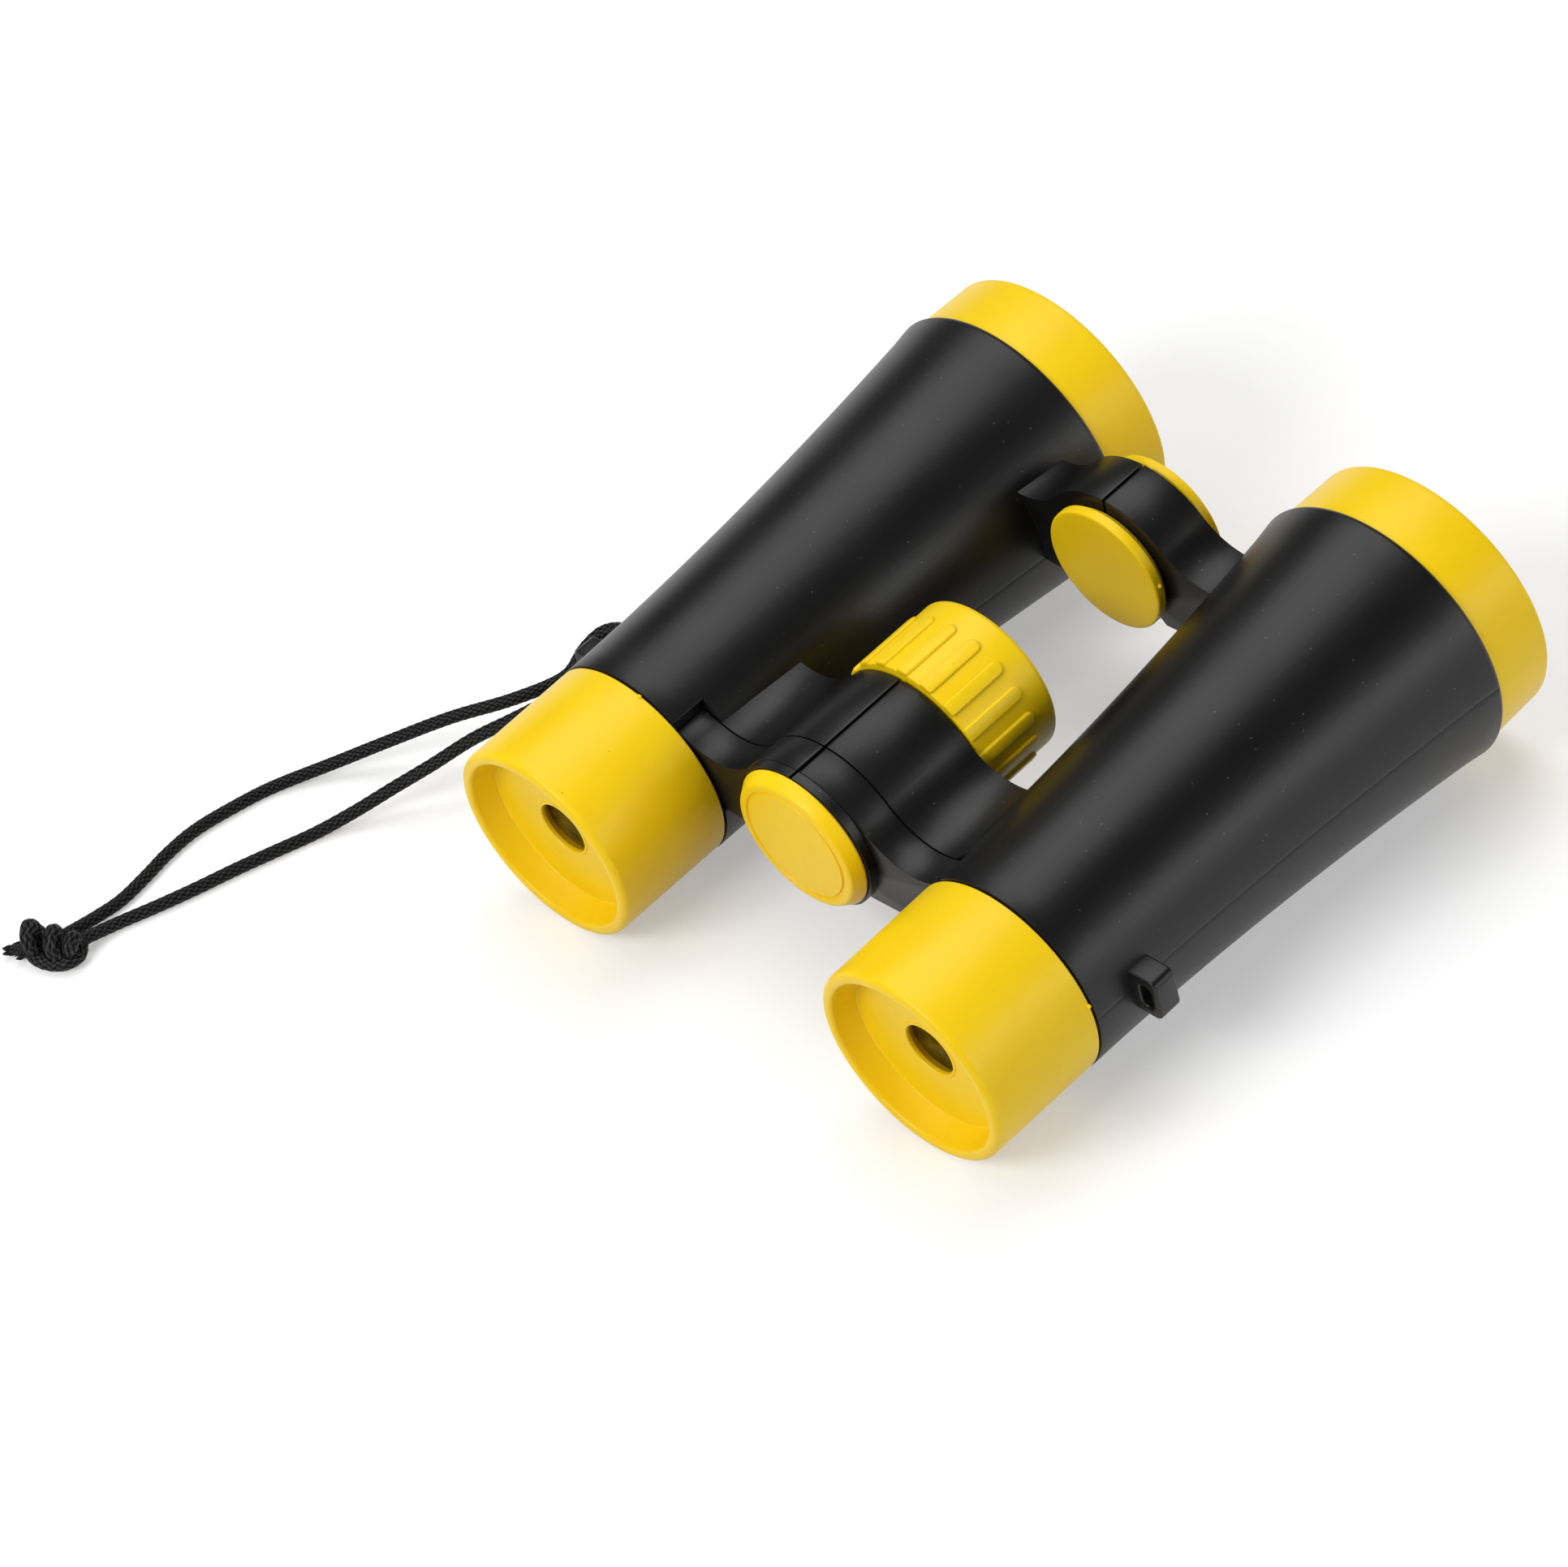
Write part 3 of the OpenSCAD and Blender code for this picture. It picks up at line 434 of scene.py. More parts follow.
CORD_D = 1.8
OUTER_ROUTE = [(-53, -24.4, 17.9), (-53, -20.8, 18.1), (-54, -18.1, 17.9), (-56.6, -16.9, 17.2),
               (-59.2, -18.2, 16), (-60.3, -21, 14.3), (-60.5, -25.2, 12.1), (-64.3, -32, 11),
               (-70.8, -38.4, 8.9), (-78.2, -44.1, 4.9), (-84.3, -50.8, 2.1), (-89, -58.6, 0.9),
               (-90.6, -64.6, 0.9), (-91.7, -71.3, 0.9), (-91.4, -76.9, 0.9), (-90.4, -82.2, 0.9),
               (-89.7, -87.3, 0.9), (-90, -91.8, 1), (-90.2, -97.4, 1.8)]
INNER_ROUTE = [(-53, -24.4, 17.9), (-53, -28, 17.7), (-55.5, -33.2, 15.9), (-59.1, -36.6, 13.4),
               (-63.6, -40.7, 10.4), (-67.3, -45.8, 7.4), (-71.2, -50.6, 4.4), (-74.3, -56.1, 2.2),
               (-76.9, -61.6, 0.9), (-78.9, -67.5, 0.9), (-80.8, -73.2, 0.9), (-82.6, -79.3, 0.9),
               (-84.5, -85, 0.9), (-86.6, -91, 1), (-87.6, -97, 1.8)]


EASED_STEPS = 6


def eased(route):
    """Points on a smooth curve through every point of a route."""
    route = [Vector(p) for p in route]
    points = []
    for i in range(len(route) - 1):
        p0, p1 = route[max(i - 1, 0)], route[i]
        p2, p3 = route[i + 1], route[min(i + 2, len(route) - 1)]
        for k in range(EASED_STEPS):
            t = k / EASED_STEPS
            points.append(0.5 * (2 * p1 + (p2 - p0) * t + (2 * p0 - 5 * p1 + 4 * p2 - p3) * t ** 2
                                 + (3 * p1 - p0 - 3 * p2 + p3) * t ** 3))
    return points + [route[-1]]


def evenly(points, step):
    """The same line with points a step apart."""
    lengths = [0.0]
    for a, b in zip(points, points[1:]):
        lengths.append(lengths[-1] + (b - a).length)
    count = max(2, round(lengths[-1] / step))
    result, k = [], 0
    for i in range(count + 1):
        s = lengths[-1] * i / count
        while k < len(points) - 2 and lengths[k + 1] < s:
            k += 1
        t = (s - lengths[k]) / max(1e-9, lengths[k + 1] - lengths[k])
        result.append(points[k].lerp(points[k + 1], min(1, t)))
    return result


BRAID_AROUND = 8
BRAID_PITCH = 5.2
BRAID_DEPTH = 0.36
BRAID_SIDES = 36
BRAID_STEP = 0.14
FRAY_FROM = 0.6
FRAY_DEPTH = 0.28


def braid(angle, distance, radius):
    """Radius of the braid at a place on the cord, and a mask for painted shade that is low down in the
    grooves.
    """
    turn = 2 * math.pi * distance / BRAID_PITCH
    u = (BRAID_AROUND * angle + BRAID_AROUND * turn / 2) / 2
    v = (BRAID_AROUND * angle - BRAID_AROUND * turn / 2) / 2
    one, two = abs(math.cos(u)), abs(math.cos(v))
    over = 0.5 + 0.5 * math.tanh(4 * math.sin(u) * math.sin(v))
    height = over * one ** 0.6 + (1 - over) * two ** 0.6
    return radius + BRAID_DEPTH * (height - 0.8), height ** 4


def thickness(diameters, t):
    """Diameter at a share t of the way along a cord whose diameters are listed from end to end."""
    place = t * (len(diameters) - 1)
    k = min(int(place), len(diameters) - 2)
    return diameters[k] + (diameters[k + 1] - diameters[k]) * (place - k)


def braided_tube(name, points, diameters, frayed=False):
    """Sweep a braided tube along points, with both ends closed and the far one frayed if asked."""
    line = evenly(points, BRAID_STEP)
    mesh = bmesh.new()
    # Per-vertex mask for the painted shade in the braid's grooves
    tone = mesh.verts.layers.float.new("groove_shade")
    side = None
    rings = []
    distance = 0.0
    for i, point in enumerate(line):
        way = (line[min(i + 1, len(line) - 1)] - line[max(i - 1, 0)]).normalized()
        if side is None:
            side = way.cross(Vector((0, 0, 1))).normalized()
        side = (side - way * side.dot(way)).normalized()
        up = way.cross(side)
        if i:
            distance += (point - line[i - 1]).length
        t = i / (len(line) - 1)
        fray = max(0.0, (t - FRAY_FROM) / (1 - FRAY_FROM)) if frayed else 0.0
        ring = []
        for k in range(BRAID_SIDES):
            angle = 2 * math.pi * k / BRAID_SIDES
            r, height = braid(angle, distance, thickness(diameters, t) / 2)
            r *= 1 - FRAY_DEPTH * fray * (1 + math.sin(3 * angle + 9 * fray))
            out = side * math.cos(angle) * r + up * math.sin(angle) * r
            vert = mesh.verts.new((point + out + way * 0.5 * fray * math.sin(4 * angle + 1)) * MM)
            vert[tone] = height
            ring.append(vert)
        rings.append(ring)
    for a, b in zip(rings, rings[1:]):
        for k in range(BRAID_SIDES):
            n = (k + 1) % BRAID_SIDES
            mesh.faces.new((a[k], b[k], b[n], a[n]))
    for ring, flip in ((rings[0], False), (rings[-1], True)):
        cap = mesh.faces.new(ring[::-1] if flip else ring)
        middle = bmesh.ops.poke(mesh, faces=[cap])["verts"][0]
        middle[tone] = 0.3
    bmesh.ops.recalc_face_normals(mesh, faces=mesh.faces)
    data = bpy.data.meshes.new(name)
    mesh.to_mesh(data)
    mesh.free()
    piece = bpy.data.objects.new(name, data)
    bpy.context.scene.collection.objects.link(piece)
    return piece


def finish_cord(piece, nodes):
    pick(piece)
    bpy.ops.object.shade_smooth()
    piece.data.materials.append(braided_cord)
    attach(piece, "left_half")
    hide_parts(*nodes)
    return piece


KNOT_CENTRE = Vector((-89.6, -99.8, 2.7))
KNOT_TURN = Matrix.Rotation(math.radians(19), 3, "Z")


def wrap(turn, along, reach):
    """A place on the knot's wraps: turn in degrees about its long axis, 0 at its back."""
    return (along, reach * math.cos(math.radians(turn)), reach * math.sin(math.radians(turn)))


# Routes of the knot's strands about its own centre: x along it, y to its back, z up.
# The first makes the two fat lobes and the small one, and the second runs along the bottom.
LOBES = ([(0.25, 2.7, -0.95), (-0.9, 1.3, -0.6), (-2.5, 0.9, 0.0)]
         + [wrap(45 + 45 * i, -3.9 + 0.48 * i, 1.4) for i in range(14)]
         + [wrap(675 + 45 * i, 2.8 + 0.22 * i, 1.25) for i in range(5)] + [(3.2, 0.2, -0.2)])
BOTTOM = [(2.8, 2.5, -0.95), (3.8, 1.3, -1.0), (4.1, -0.2, -1.2), (2.8, -1.7, -1.5), (0.6, -2.35, -1.6),
          (-1.6, -2.1, -1.6), (-3.2, -1.2, -1.5), (-4.2, -0.2, -1.1), (-4.2, 0.8, -0.4), (-3.0, 1.0, 0.2)]
LONG_TAIL = [(-3.4, -0.2, -0.8), (-4.9, -0.8, -1.4), (-6.0, -1.5, -1.7), (-6.9, -2.1, -1.7)]
SHORT_TAIL = [(-3.2, -0.9, -1.2), (-3.9, -1.6, -1.5), (-4.6, -2.5, -1.6)]


def knot_strand(name, route, diameters, frayed=False):
    line = [KNOT_CENTRE + KNOT_TURN @ p for p in eased(route)]
    return braided_tube(name, line, diameters, frayed=frayed)


knot = knot_strand("cord_knot_braid", LOBES, [1.8, 2.4, 2.6, 2.6, 2.6, 2.6, 2.3, 2.0])
join(knot, [knot_strand("bottom_strand", BOTTOM, [1.8, 2.0, 2.1, 2.1, 2.0, 1.7]),
            knot_strand("long_tail", LONG_TAIL, [1.7, 1.7, 1.5], True),
            knot_strand("short_tail", SHORT_TAIL, [1.7, 1.6, 1.3], True)])
finish_cord(knot, ["cord_knot"])

for name, route in (("cord_outer_braid", OUTER_ROUTE), ("cord_inner_braid", INNER_ROUTE)):
    path = eased(route)
    strand = finish_cord(braided_tube(name, path, [CORD_D, CORD_D]), [name.replace("braid", "strand")])

# Barrels: a flared wall that turns in over a rounded shoulder to the objective ring's seat

REAR_R = 15.9
FLARE_GROWTH = 5.4
FLARE_LEN = 75
FLARE_POWER = 1.7
FLARE_STEPS = 24
SHOULDER_ROUND = 1
SHOULDER_R = 21.3
MOUTH_R = 20.65
MOUTH_Y = 93.7
SEAT_R = 19.17
SEAT_Y = 86.5
SHELL_EDGE = 0.16


def barrel_r(y):
    """Outer radius of a barrel at a place along it."""
    return REAR_R + FLARE_GROWTH * max(0, (y - BARREL_REAR) / FLARE_LEN) ** FLARE_POWER


FLARE = [BARREL_REAR + (FLARE_LEN - SHOULDER_ROUND) * i / FLARE_STEPS for i in range(FLARE_STEPS + 1)]
mouth_turn = math.degrees(math.acos((MOUTH_R - SHOULDER_R + SHOULDER_ROUND) / SHOULDER_ROUND))
BARREL_SECTION = ([(barrel_r(y), y) for y in FLARE[:-1]]
                  + arc(SHOULDER_R - SHOULDER_ROUND, BARREL_FRONT - SHOULDER_ROUND, SHOULDER_ROUND, 0,
                        mouth_turn, 8)
                  + [(MOUTH_R, MOUTH_Y), (SEAT_R, MOUTH_Y), (SEAT_R, SEAT_Y)]
                  + [(barrel_r(y) - WALL, y) for y in reversed(FLARE) if y < SEAT_Y])


NOTCH_END = 24.9
NOTCH_LOW = 20
NOTCH_TOP = 52


def notch_cutter():
    """The wedge that opens the rear edge where the focusing arm comes through."""
    low, top = math.radians(NOTCH_LOW), math.radians(NOTCH_TOP)
    reach = 24
    outline = [(BARREL_X, 0), (BARREL_X - reach * math.cos(low), -reach * math.sin(low)),
               (BARREL_X - reach, 6), (BARREL_X - reach * math.cos(top), reach * math.sin(top))]
    return slab("notch", outline, BARREL_REAR - 1, NOTCH_END)


for side in (LEFT, RIGHT):
    name = SIDE_NAME[side]
    upper = turned(name + "_upper_shell", BARREL_SECTION, BARREL_X, 0, steps=TURN_STEPS // 2,
                   start=SEAM_ANGLE, sweep=180)
    cut_away(upper, notch_cutter())
    lower = turned(name + "_lower_shell", BARREL_SECTION, BARREL_X, 0, steps=TURN_STEPS // 2,
                   start=SEAM_ANGLE + 180, sweep=180)
    for shell, node in ((upper, "_barrel_top"), (lower, "_barrel_bottom")):
        round_edges(shell, SHELL_EDGE, 2, 45)
        if side == LEFT:
            mirrored(shell)
        finish_piece(shell, name + "_half", black_plastic, [name + node])

# Bridges: a crown that runs into a hollow at each barrel, split along the middle

CROWN_R = 13.35
CROWN_Z = 4.7
CROWN_GAP = 0.5
FOLD_ANGLE = 41
KNUCKLE_R = 6.5
KNUCKLE_GAP = 0.3
KNUCKLE_END_GAP = 0.1
KNUCKLE_INSET = 0.02
LEAF_EDGE = 0.2

# Each bridge has its rear and front ends, the radius and height of its hollows, the radius at which it ends
# inside the barrel's wall, and the radius of its bore
REAR_BRIDGE = (NOTCH_END, 39.5)
REAR_HOLLOW = (10.1, 19)
REAR_END_R = 15.3
REAR_BORE_R = 4
FRONT_BRIDGE = (79.9, 88.15)
FRONT_HOLLOW = (9.9, 19.9)
FRONT_END_R = 19.3
FRONT_BORE_R = 2.5

# The focusing arms have the rear bridge's outline, but end in the sliding tube
ARM = (19.5, 24.75)
ARM_END_R = 13.4
ARM_RAISED = 0.3
DIP_FROM_R = 15.5
DIP_TO_R = 14.4
DIP_ANGLE = 48.5


def bridge_outline(hollow_r, hollow_z, end_r, raised=0.0, dips=False):
    """Right half of a bridge, from the gap along its crown into the barrel's wall at radius end_r.

    Where it dips, its top leaves the hollow early and runs down to the sliding tube.
    """
    hollow_x = math.sqrt((CROWN_R + hollow_r) ** 2 - (hollow_z - CROWN_Z) ** 2)
    lean = math.degrees(math.atan2(hollow_z - CROWN_Z, hollow_x))
    gap_turn = math.degrees(math.acos(CROWN_GAP / 2 / CROWN_R))
    crown = arc(0, CROWN_Z, CROWN_R, gap_turn, lean, 30)
    # Follow the hollow until it is inside the barrel's wall, or as near to the barrel as it comes
    nearest = 360 - math.degrees(math.atan2(hollow_z, BARREL_X - hollow_x))
    hollow = [(x, z) for x, z in arc(hollow_x, hollow_z, hollow_r, lean + 180, nearest, 50)
              if math.hypot(x - BARREL_X, z) > (DIP_FROM_R if dips else end_r)][1:]
    start = math.degrees(math.atan2(hollow[-1][1], hollow[-1][0] - BARREL_X))
    if dips:
        start = 180 - DIP_ANGLE
        hollow.append(arc(BARREL_X, 0, DIP_TO_R, start, start, 1)[0])
    end = 180 + SEAM_ANGLE - math.degrees(raised / end_r)
    wall = arc(BARREL_X, 0, end_r, start, end, 12)
    slope = math.tan(math.radians(SEAM_ANGLE))
    under = BARREL_X * -slope + raised
    v = math.tan(math.radians(FOLD_ANGLE))
    x = (HINGE_Z - under) * v / (1 + slope * v)
    corner = (x, under + x * slope)
    return [(CROWN_GAP / 2, HINGE_Z - CROWN_GAP / 2 / v)] + crown + hollow + wall + [corner]


def leaf(name, y0, y1, hollow_r, hollow_z, end_r, own, other, bore, raised=0.0, dips=False):
    """One leaf of a bridge with its knuckles; own and other list them as (start, end)."""
    piece = slab(name, bridge_outline(hollow_r, hollow_z, end_r, raised, dips), y0, y1)
    round_edges(piece, LEAF_EDGE, 2, 40)
    for start, end in other:
        cut_away(piece, drum(KNUCKLE_R + KNUCKLE_GAP, start - KNUCKLE_END_GAP, end + KNUCKLE_END_GAP))
    for start, end in own:
        cut_away(piece, drum(KNUCKLE_R, start + KNUCKLE_INSET, end - KNUCKLE_INSET), "UNION")
    cut_away(piece, drum(bore, y0 - 1, y1 + 1))
    tidy_mesh(piece)
    return piece


def thirds(y0, y1):
    """The two outer knuckles of a hinge between y0 and y1, and the middle one."""
    third = (y1 - y0) / 3
    outer = [(y0, y0 + third - KNUCKLE_END_GAP), (y1 - third + KNUCKLE_END_GAP, y1)]
    return outer, [(y0 + third, y1 - third)]


LUG_Y = 26.2
LUG_T = 3.7
LUG_REACH = 20.2
LUG_H = 7.1
LUG_Z = 0.6
LUG_ROOT = 12.5
LUG_CORNER = 1.2
LUG_EDGE = 0.6
LUG_SEAT_R = 15.2
SLOT_X = 17.95
SLOT_R = 1.05
SLOT_HALF = 0.95


def lug(name):
    """A rounded block with a slot, on the barrel's outer side."""
    half = LUG_H / 2
    corner_x, corner_z = LUG_REACH - LUG_CORNER, half - LUG_CORNER
    outline = ([(LUG_ROOT, half)] + arc(corner_x, corner_z, LUG_CORNER, 90, 0, 8)
               + arc(corner_x, -corner_z, LUG_CORNER, 0, -90, 8) + [(LUG_ROOT, -half)])
    piece = slab(name, [(BARREL_X + x, LUG_Z + z) for x, z in outline], LUG_Y, LUG_Y + LUG_T)
    slot = arc(SLOT_X, SLOT_HALF, SLOT_R, 0, 180, 12) + arc(SLOT_X, -SLOT_HALF, SLOT_R, 180, 360, 12)
    cut_away(piece, slab("slot", [(BARREL_X + x, LUG_Z + z) for x, z in slot], LUG_Y - 1, LUG_Y + LUG_T + 1))
    round_edges(piece, LUG_EDGE, 4, 40)
    cut_away(piece, drum(LUG_SEAT_R, LUG_Y - 1, LUG_Y + LUG_T + 1, x=BARREL_X, z=0))
    return piece


for side in (LEFT, RIGHT):
    name = SIDE_NAME[side]
    made = []
    for part, span, hollow, end_r, bore in (
            ("rear", REAR_BRIDGE, REAR_HOLLOW, REAR_END_R, REAR_BORE_R),
            ("front", FRONT_BRIDGE, FRONT_HOLLOW, FRONT_END_R, FRONT_BORE_R)):
        outer, middle = thirds(*span)
        own, other = (outer, middle) if side == LEFT else (middle, outer)
        made.append(leaf(name + "_" + part + "_bridge", *span, *hollow, end_r, own, other, bore))
    made.append(lug(name + "_strap_lug"))
    for piece in made:
        if side == LEFT:
            mirrored(piece)
        finish_piece(piece, name + "_half", black_plastic, [name + "_barrel_top"])

# Objective rings

RING_FRONT = 104.6
RING_R = 20.35
HOOD_R = 18
HOOD_FLOOR_Y = 95.5
RING_ROUND = 0.7
RING_TENON_R = 19.15
RING_FOOT_R = 20.6
RING_FOOT_Y = 93.72
RETAINER_BORE_R = 17.52
RETAINER_SEAT_Y = 93.9
LENS_BORE_R = 15.82
LENS_SEAT_Y = 91.9
LENS_OPENING_R = 14.8
RING_SECTION = ([(RING_TENON_R, SEAT_Y), (RING_TENON_R, RING_FOOT_Y), (RING_FOOT_R, RING_FOOT_Y)]
                + arc(RING_R - RING_ROUND, RING_FRONT - RING_ROUND, RING_ROUND, 0, 90, 6)
                + arc(HOOD_R + RING_ROUND, RING_FRONT - RING_ROUND, RING_ROUND, 90, 180, 6)
                + [(HOOD_R, HOOD_FLOOR_Y), (RETAINER_BORE_R, HOOD_FLOOR_Y),
                   (RETAINER_BORE_R, RETAINER_SEAT_Y), (LENS_BORE_R, RETAINER_SEAT_Y),
                   (LENS_BORE_R, LENS_SEAT_Y), (LENS_OPENING_R, LENS_SEAT_Y), (LENS_OPENING_R, SEAT_Y)])

# Eyecups

CUP_LEN = 19.05
CUP_RIM_R = 15.7
CUP_BASE_R = 15.8
RIM_Y = -0.5
RIM_ROUND = 1.0
RECESS_R = 13.8
LIP_ROUND = 0.6
RECESS_FLOOR_R = 13.05
RECESS_DEPTH = 3.6
CUP_CORNER = 0.3
APERTURE_R = 4.1
BEAD_Y = RECESS_DEPTH - 0.14
CONE_Y = 4.1
CONE_R = 4.9
CUP_FLOOR_Y = 5.2
COLLAR_R = 7.52
COLLAR_OUTER_R = 8.7
COLLAR_Y = 7.0
CUP_BORE_R = 14.02
CUP_SECTION = (arc(CUP_RIM_R - RIM_ROUND, RIM_Y + RIM_ROUND, RIM_ROUND, -90, 0, 8)[::-1]
               + arc(RECESS_R + LIP_ROUND, RIM_Y + LIP_ROUND, LIP_ROUND, 270, 180, 6)
               + arc(RECESS_FLOOR_R - CUP_CORNER, RECESS_DEPTH - CUP_CORNER, CUP_CORNER, 20, 90, 4)
               + [(APERTURE_R + 0.55, RECESS_DEPTH), (APERTURE_R + 0.4, BEAD_Y), (APERTURE_R + 0.12, BEAD_Y),
                  (APERTURE_R, RECESS_DEPTH + 0.02), (APERTURE_R, CONE_Y), (CONE_R, CUP_FLOOR_Y),
                  (COLLAR_R, CUP_FLOOR_Y), (COLLAR_R, COLLAR_Y), (COLLAR_OUTER_R, COLLAR_Y),
                  (COLLAR_OUTER_R, CUP_FLOOR_Y), (CUP_BORE_R, CUP_FLOOR_Y), (CUP_BORE_R, CUP_LEN)]
               + arc(CUP_BASE_R - CUP_CORNER, CUP_LEN - CUP_CORNER, CUP_CORNER, 90, 0, 3))


CUP_NIB_R = 0.42
NIB_TURN = {LEFT: 74, RIGHT: 15}


def gate_nib(x, y, z, size):
    """The little stub left where the moulding was cut from its runner."""
    deselect()
    bpy.ops.mesh.primitive_uv_sphere_add(segments=16, ring_count=10, radius=size * MM,
                                         location=(x * MM, y * MM, z * MM))
    piece = bpy.context.object
    piece.scale = (1.0, 0.7, 0.8)
    settle(piece)
    return piece


for side in (LEFT, RIGHT):
    name = SIDE_NAME[side]
    ring = turned(name + "_hood_ring", RING_SECTION, side * BARREL_X, 0)
    finish_piece(ring, name + "_half", yellow_plastic, [name + "_objective_ring"])
    cup = turned(name + "_soft_eyecup", CUP_SECTION, side * BARREL_X, 0)
    nib_turn = math.radians(NIB_TURN[side])
    join(cup, [gate_nib(side * BARREL_X + CUP_BASE_R * math.cos(nib_turn), CUP_LEN - 0.25,
                        CUP_BASE_R * math.sin(nib_turn), CUP_NIB_R)])
    finish_piece(cup, name + "_eyepiece", yellow_plastic, [name + "_eyecup"])

# Focusing arms with their sliding tubes

TUBE_REAR = 7.2
TUBE_FRONT = 32
TUBE_R = 14
TUBE_BORE_R = 12.6
TUBE_FLOOR_Y = 8.6
TUBE_WINDOW_R = 6.5
TUBE_SECTION = [(TUBE_R, TUBE_REAR), (TUBE_R, TUBE_FRONT), (TUBE_BORE_R, TUBE_FRONT),
                (TUBE_BORE_R, TUBE_FLOOR_Y), (TUBE_WINDOW_R, TUBE_FLOOR_Y), (TUBE_WINDOW_R, TUBE_REAR)]

# The boss behind the left arm, whose top follows the crown and is slit like it
BOSS_Y = 18.05
BOSS_R = 11.7
BOSS_FRONT = 19.42
BOSS_HUB_R = 6.4
BOSS_HUB_FRONT = 19.8
BOSS_SECTION = [(BOSS_R, BOSS_Y), (BOSS_R, BOSS_FRONT), (BOSS_HUB_R, BOSS_FRONT),
                (BOSS_HUB_R, BOSS_HUB_FRONT), (REAR_BORE_R, BOSS_HUB_FRONT), (REAR_BORE_R, BOSS_Y)]
CUT_TO = 21
SLIT_FLOOR = 17
SLIT_TOP = 19

arm_middle = (ARM[0] + ARM[1]) / 2
for side in (LEFT, RIGHT):
    name = SIDE_NAME[side]
    left_knuckle = [(ARM[0], arm_middle - KNUCKLE_END_GAP / 2)]
    right_knuckle = [(arm_middle + KNUCKLE_END_GAP / 2, ARM[1])]
    own, other = (left_knuckle, right_knuckle) if side == LEFT else (right_knuckle, left_knuckle)
    arm = leaf(name + "_arm", *ARM, *REAR_HOLLOW, ARM_END_R, own, other, REAR_BORE_R, ARM_RAISED, dips=True)
    if side == LEFT:
        mirrored(arm)
        boss = turned("rear_cap_boss", BOSS_SECTION)
        cut_away(boss, drum(CROWN_R, BOSS_Y - 1, CUT_TO, z=CROWN_Z), "INTERSECT")
        half = CROWN_GAP / 2
        slit = [(-half, SLIT_FLOOR), (half, SLIT_FLOOR), (half, SLIT_TOP), (-half, SLIT_TOP)]
        cut_away(boss, slab("slit", slit, BOSS_Y - 1, CUT_TO))
        tidy_mesh(boss)
        finish_piece(boss, name + "_eyepiece", black_plastic, [name + "_focus_arm"])
    finish_piece(arm, name + "_eyepiece", black_plastic, [name + "_focus_arm"])
    tube = turned(name + "_sliding_tube", TUBE_SECTION, side * BARREL_X, 0)
    finish_piece(tube, name + "_eyepiece", black_plastic, [name + "_focus_arm"])

# Rear cap and front pin caps

CAP_Y = 15.8
CAP_EDGE_R = 9.85
CAP_EDGE = 0.6
CAP_RIM_R = 10.9
CAP_RIM = 0.4
CAP_WALL = 1
CAP_BORE_R = 2.8
# The ring groove in its rear face, as (radius, depth)
GROOVE = [(8.5, 0), (8.66, 0.3), (8.94, 0.3), (9.1, 0)]
cap = turned("rear_cap_disc",
             arc(CAP_EDGE_R, CAP_Y + CAP_EDGE, CAP_EDGE, -90, -20, 5)
             + arc(CAP_RIM_R, BOSS_Y - CAP_RIM, CAP_RIM, -20, 90, 6)
             + [(CAP_BORE_R, BOSS_Y), (CAP_BORE_R, CAP_Y + CAP_WALL), (0, CAP_Y + CAP_WALL), (0, CAP_Y)]
             + [(r, CAP_Y + depth) for r, depth in GROOVE])
finish_piece(cap, "left_eyepiece", yellow_plastic, ["rear_cap"])

PIN_CAP_R = 10
PIN_CAP_GAP = 0.2
PIN_NIB_R = 0.48
DOME_Y = 2.25
DOME_H = 0.35
# Section of a pin cap as (radius, distance from its foot), with a low dome
dome = [(PIN_CAP_R * math.sin(t), DOME_Y + DOME_H * math.cos(t)) for t in
        (math.radians(10 * i) for i in range(1, 8))]
PIN_CAP_SECTION = ([(9.1, 0), (9.1, 0.7), (9.8, 0.7), (PIN_CAP_R, 0.9)] + arc(9.55, 1.95, 0.45, 0, 60, 5)
                   + dome[::-1] + [(0, 2.6), (0, 1.55), (2.52, 1.55), (2.52, 0)])
for name, face, way in (("rear", FRONT_BRIDGE[0] - PIN_CAP_GAP, -1),
                        ("front", FRONT_BRIDGE[1] + PIN_CAP_GAP, 1)):
    cap = turned("front_pin_" + name + "_cover", [(r, face + way * y) for r, y in PIN_CAP_SECTION])
    join(cap, [gate_nib(PIN_CAP_R - 0.2, face + way * 1.4, HINGE_Z + 1.6, PIN_NIB_R)])
    finish_piece(cap, "left_half", yellow_plastic, ["front_pin_" + name + "_cap"])

# Focus wheel with its low ribs

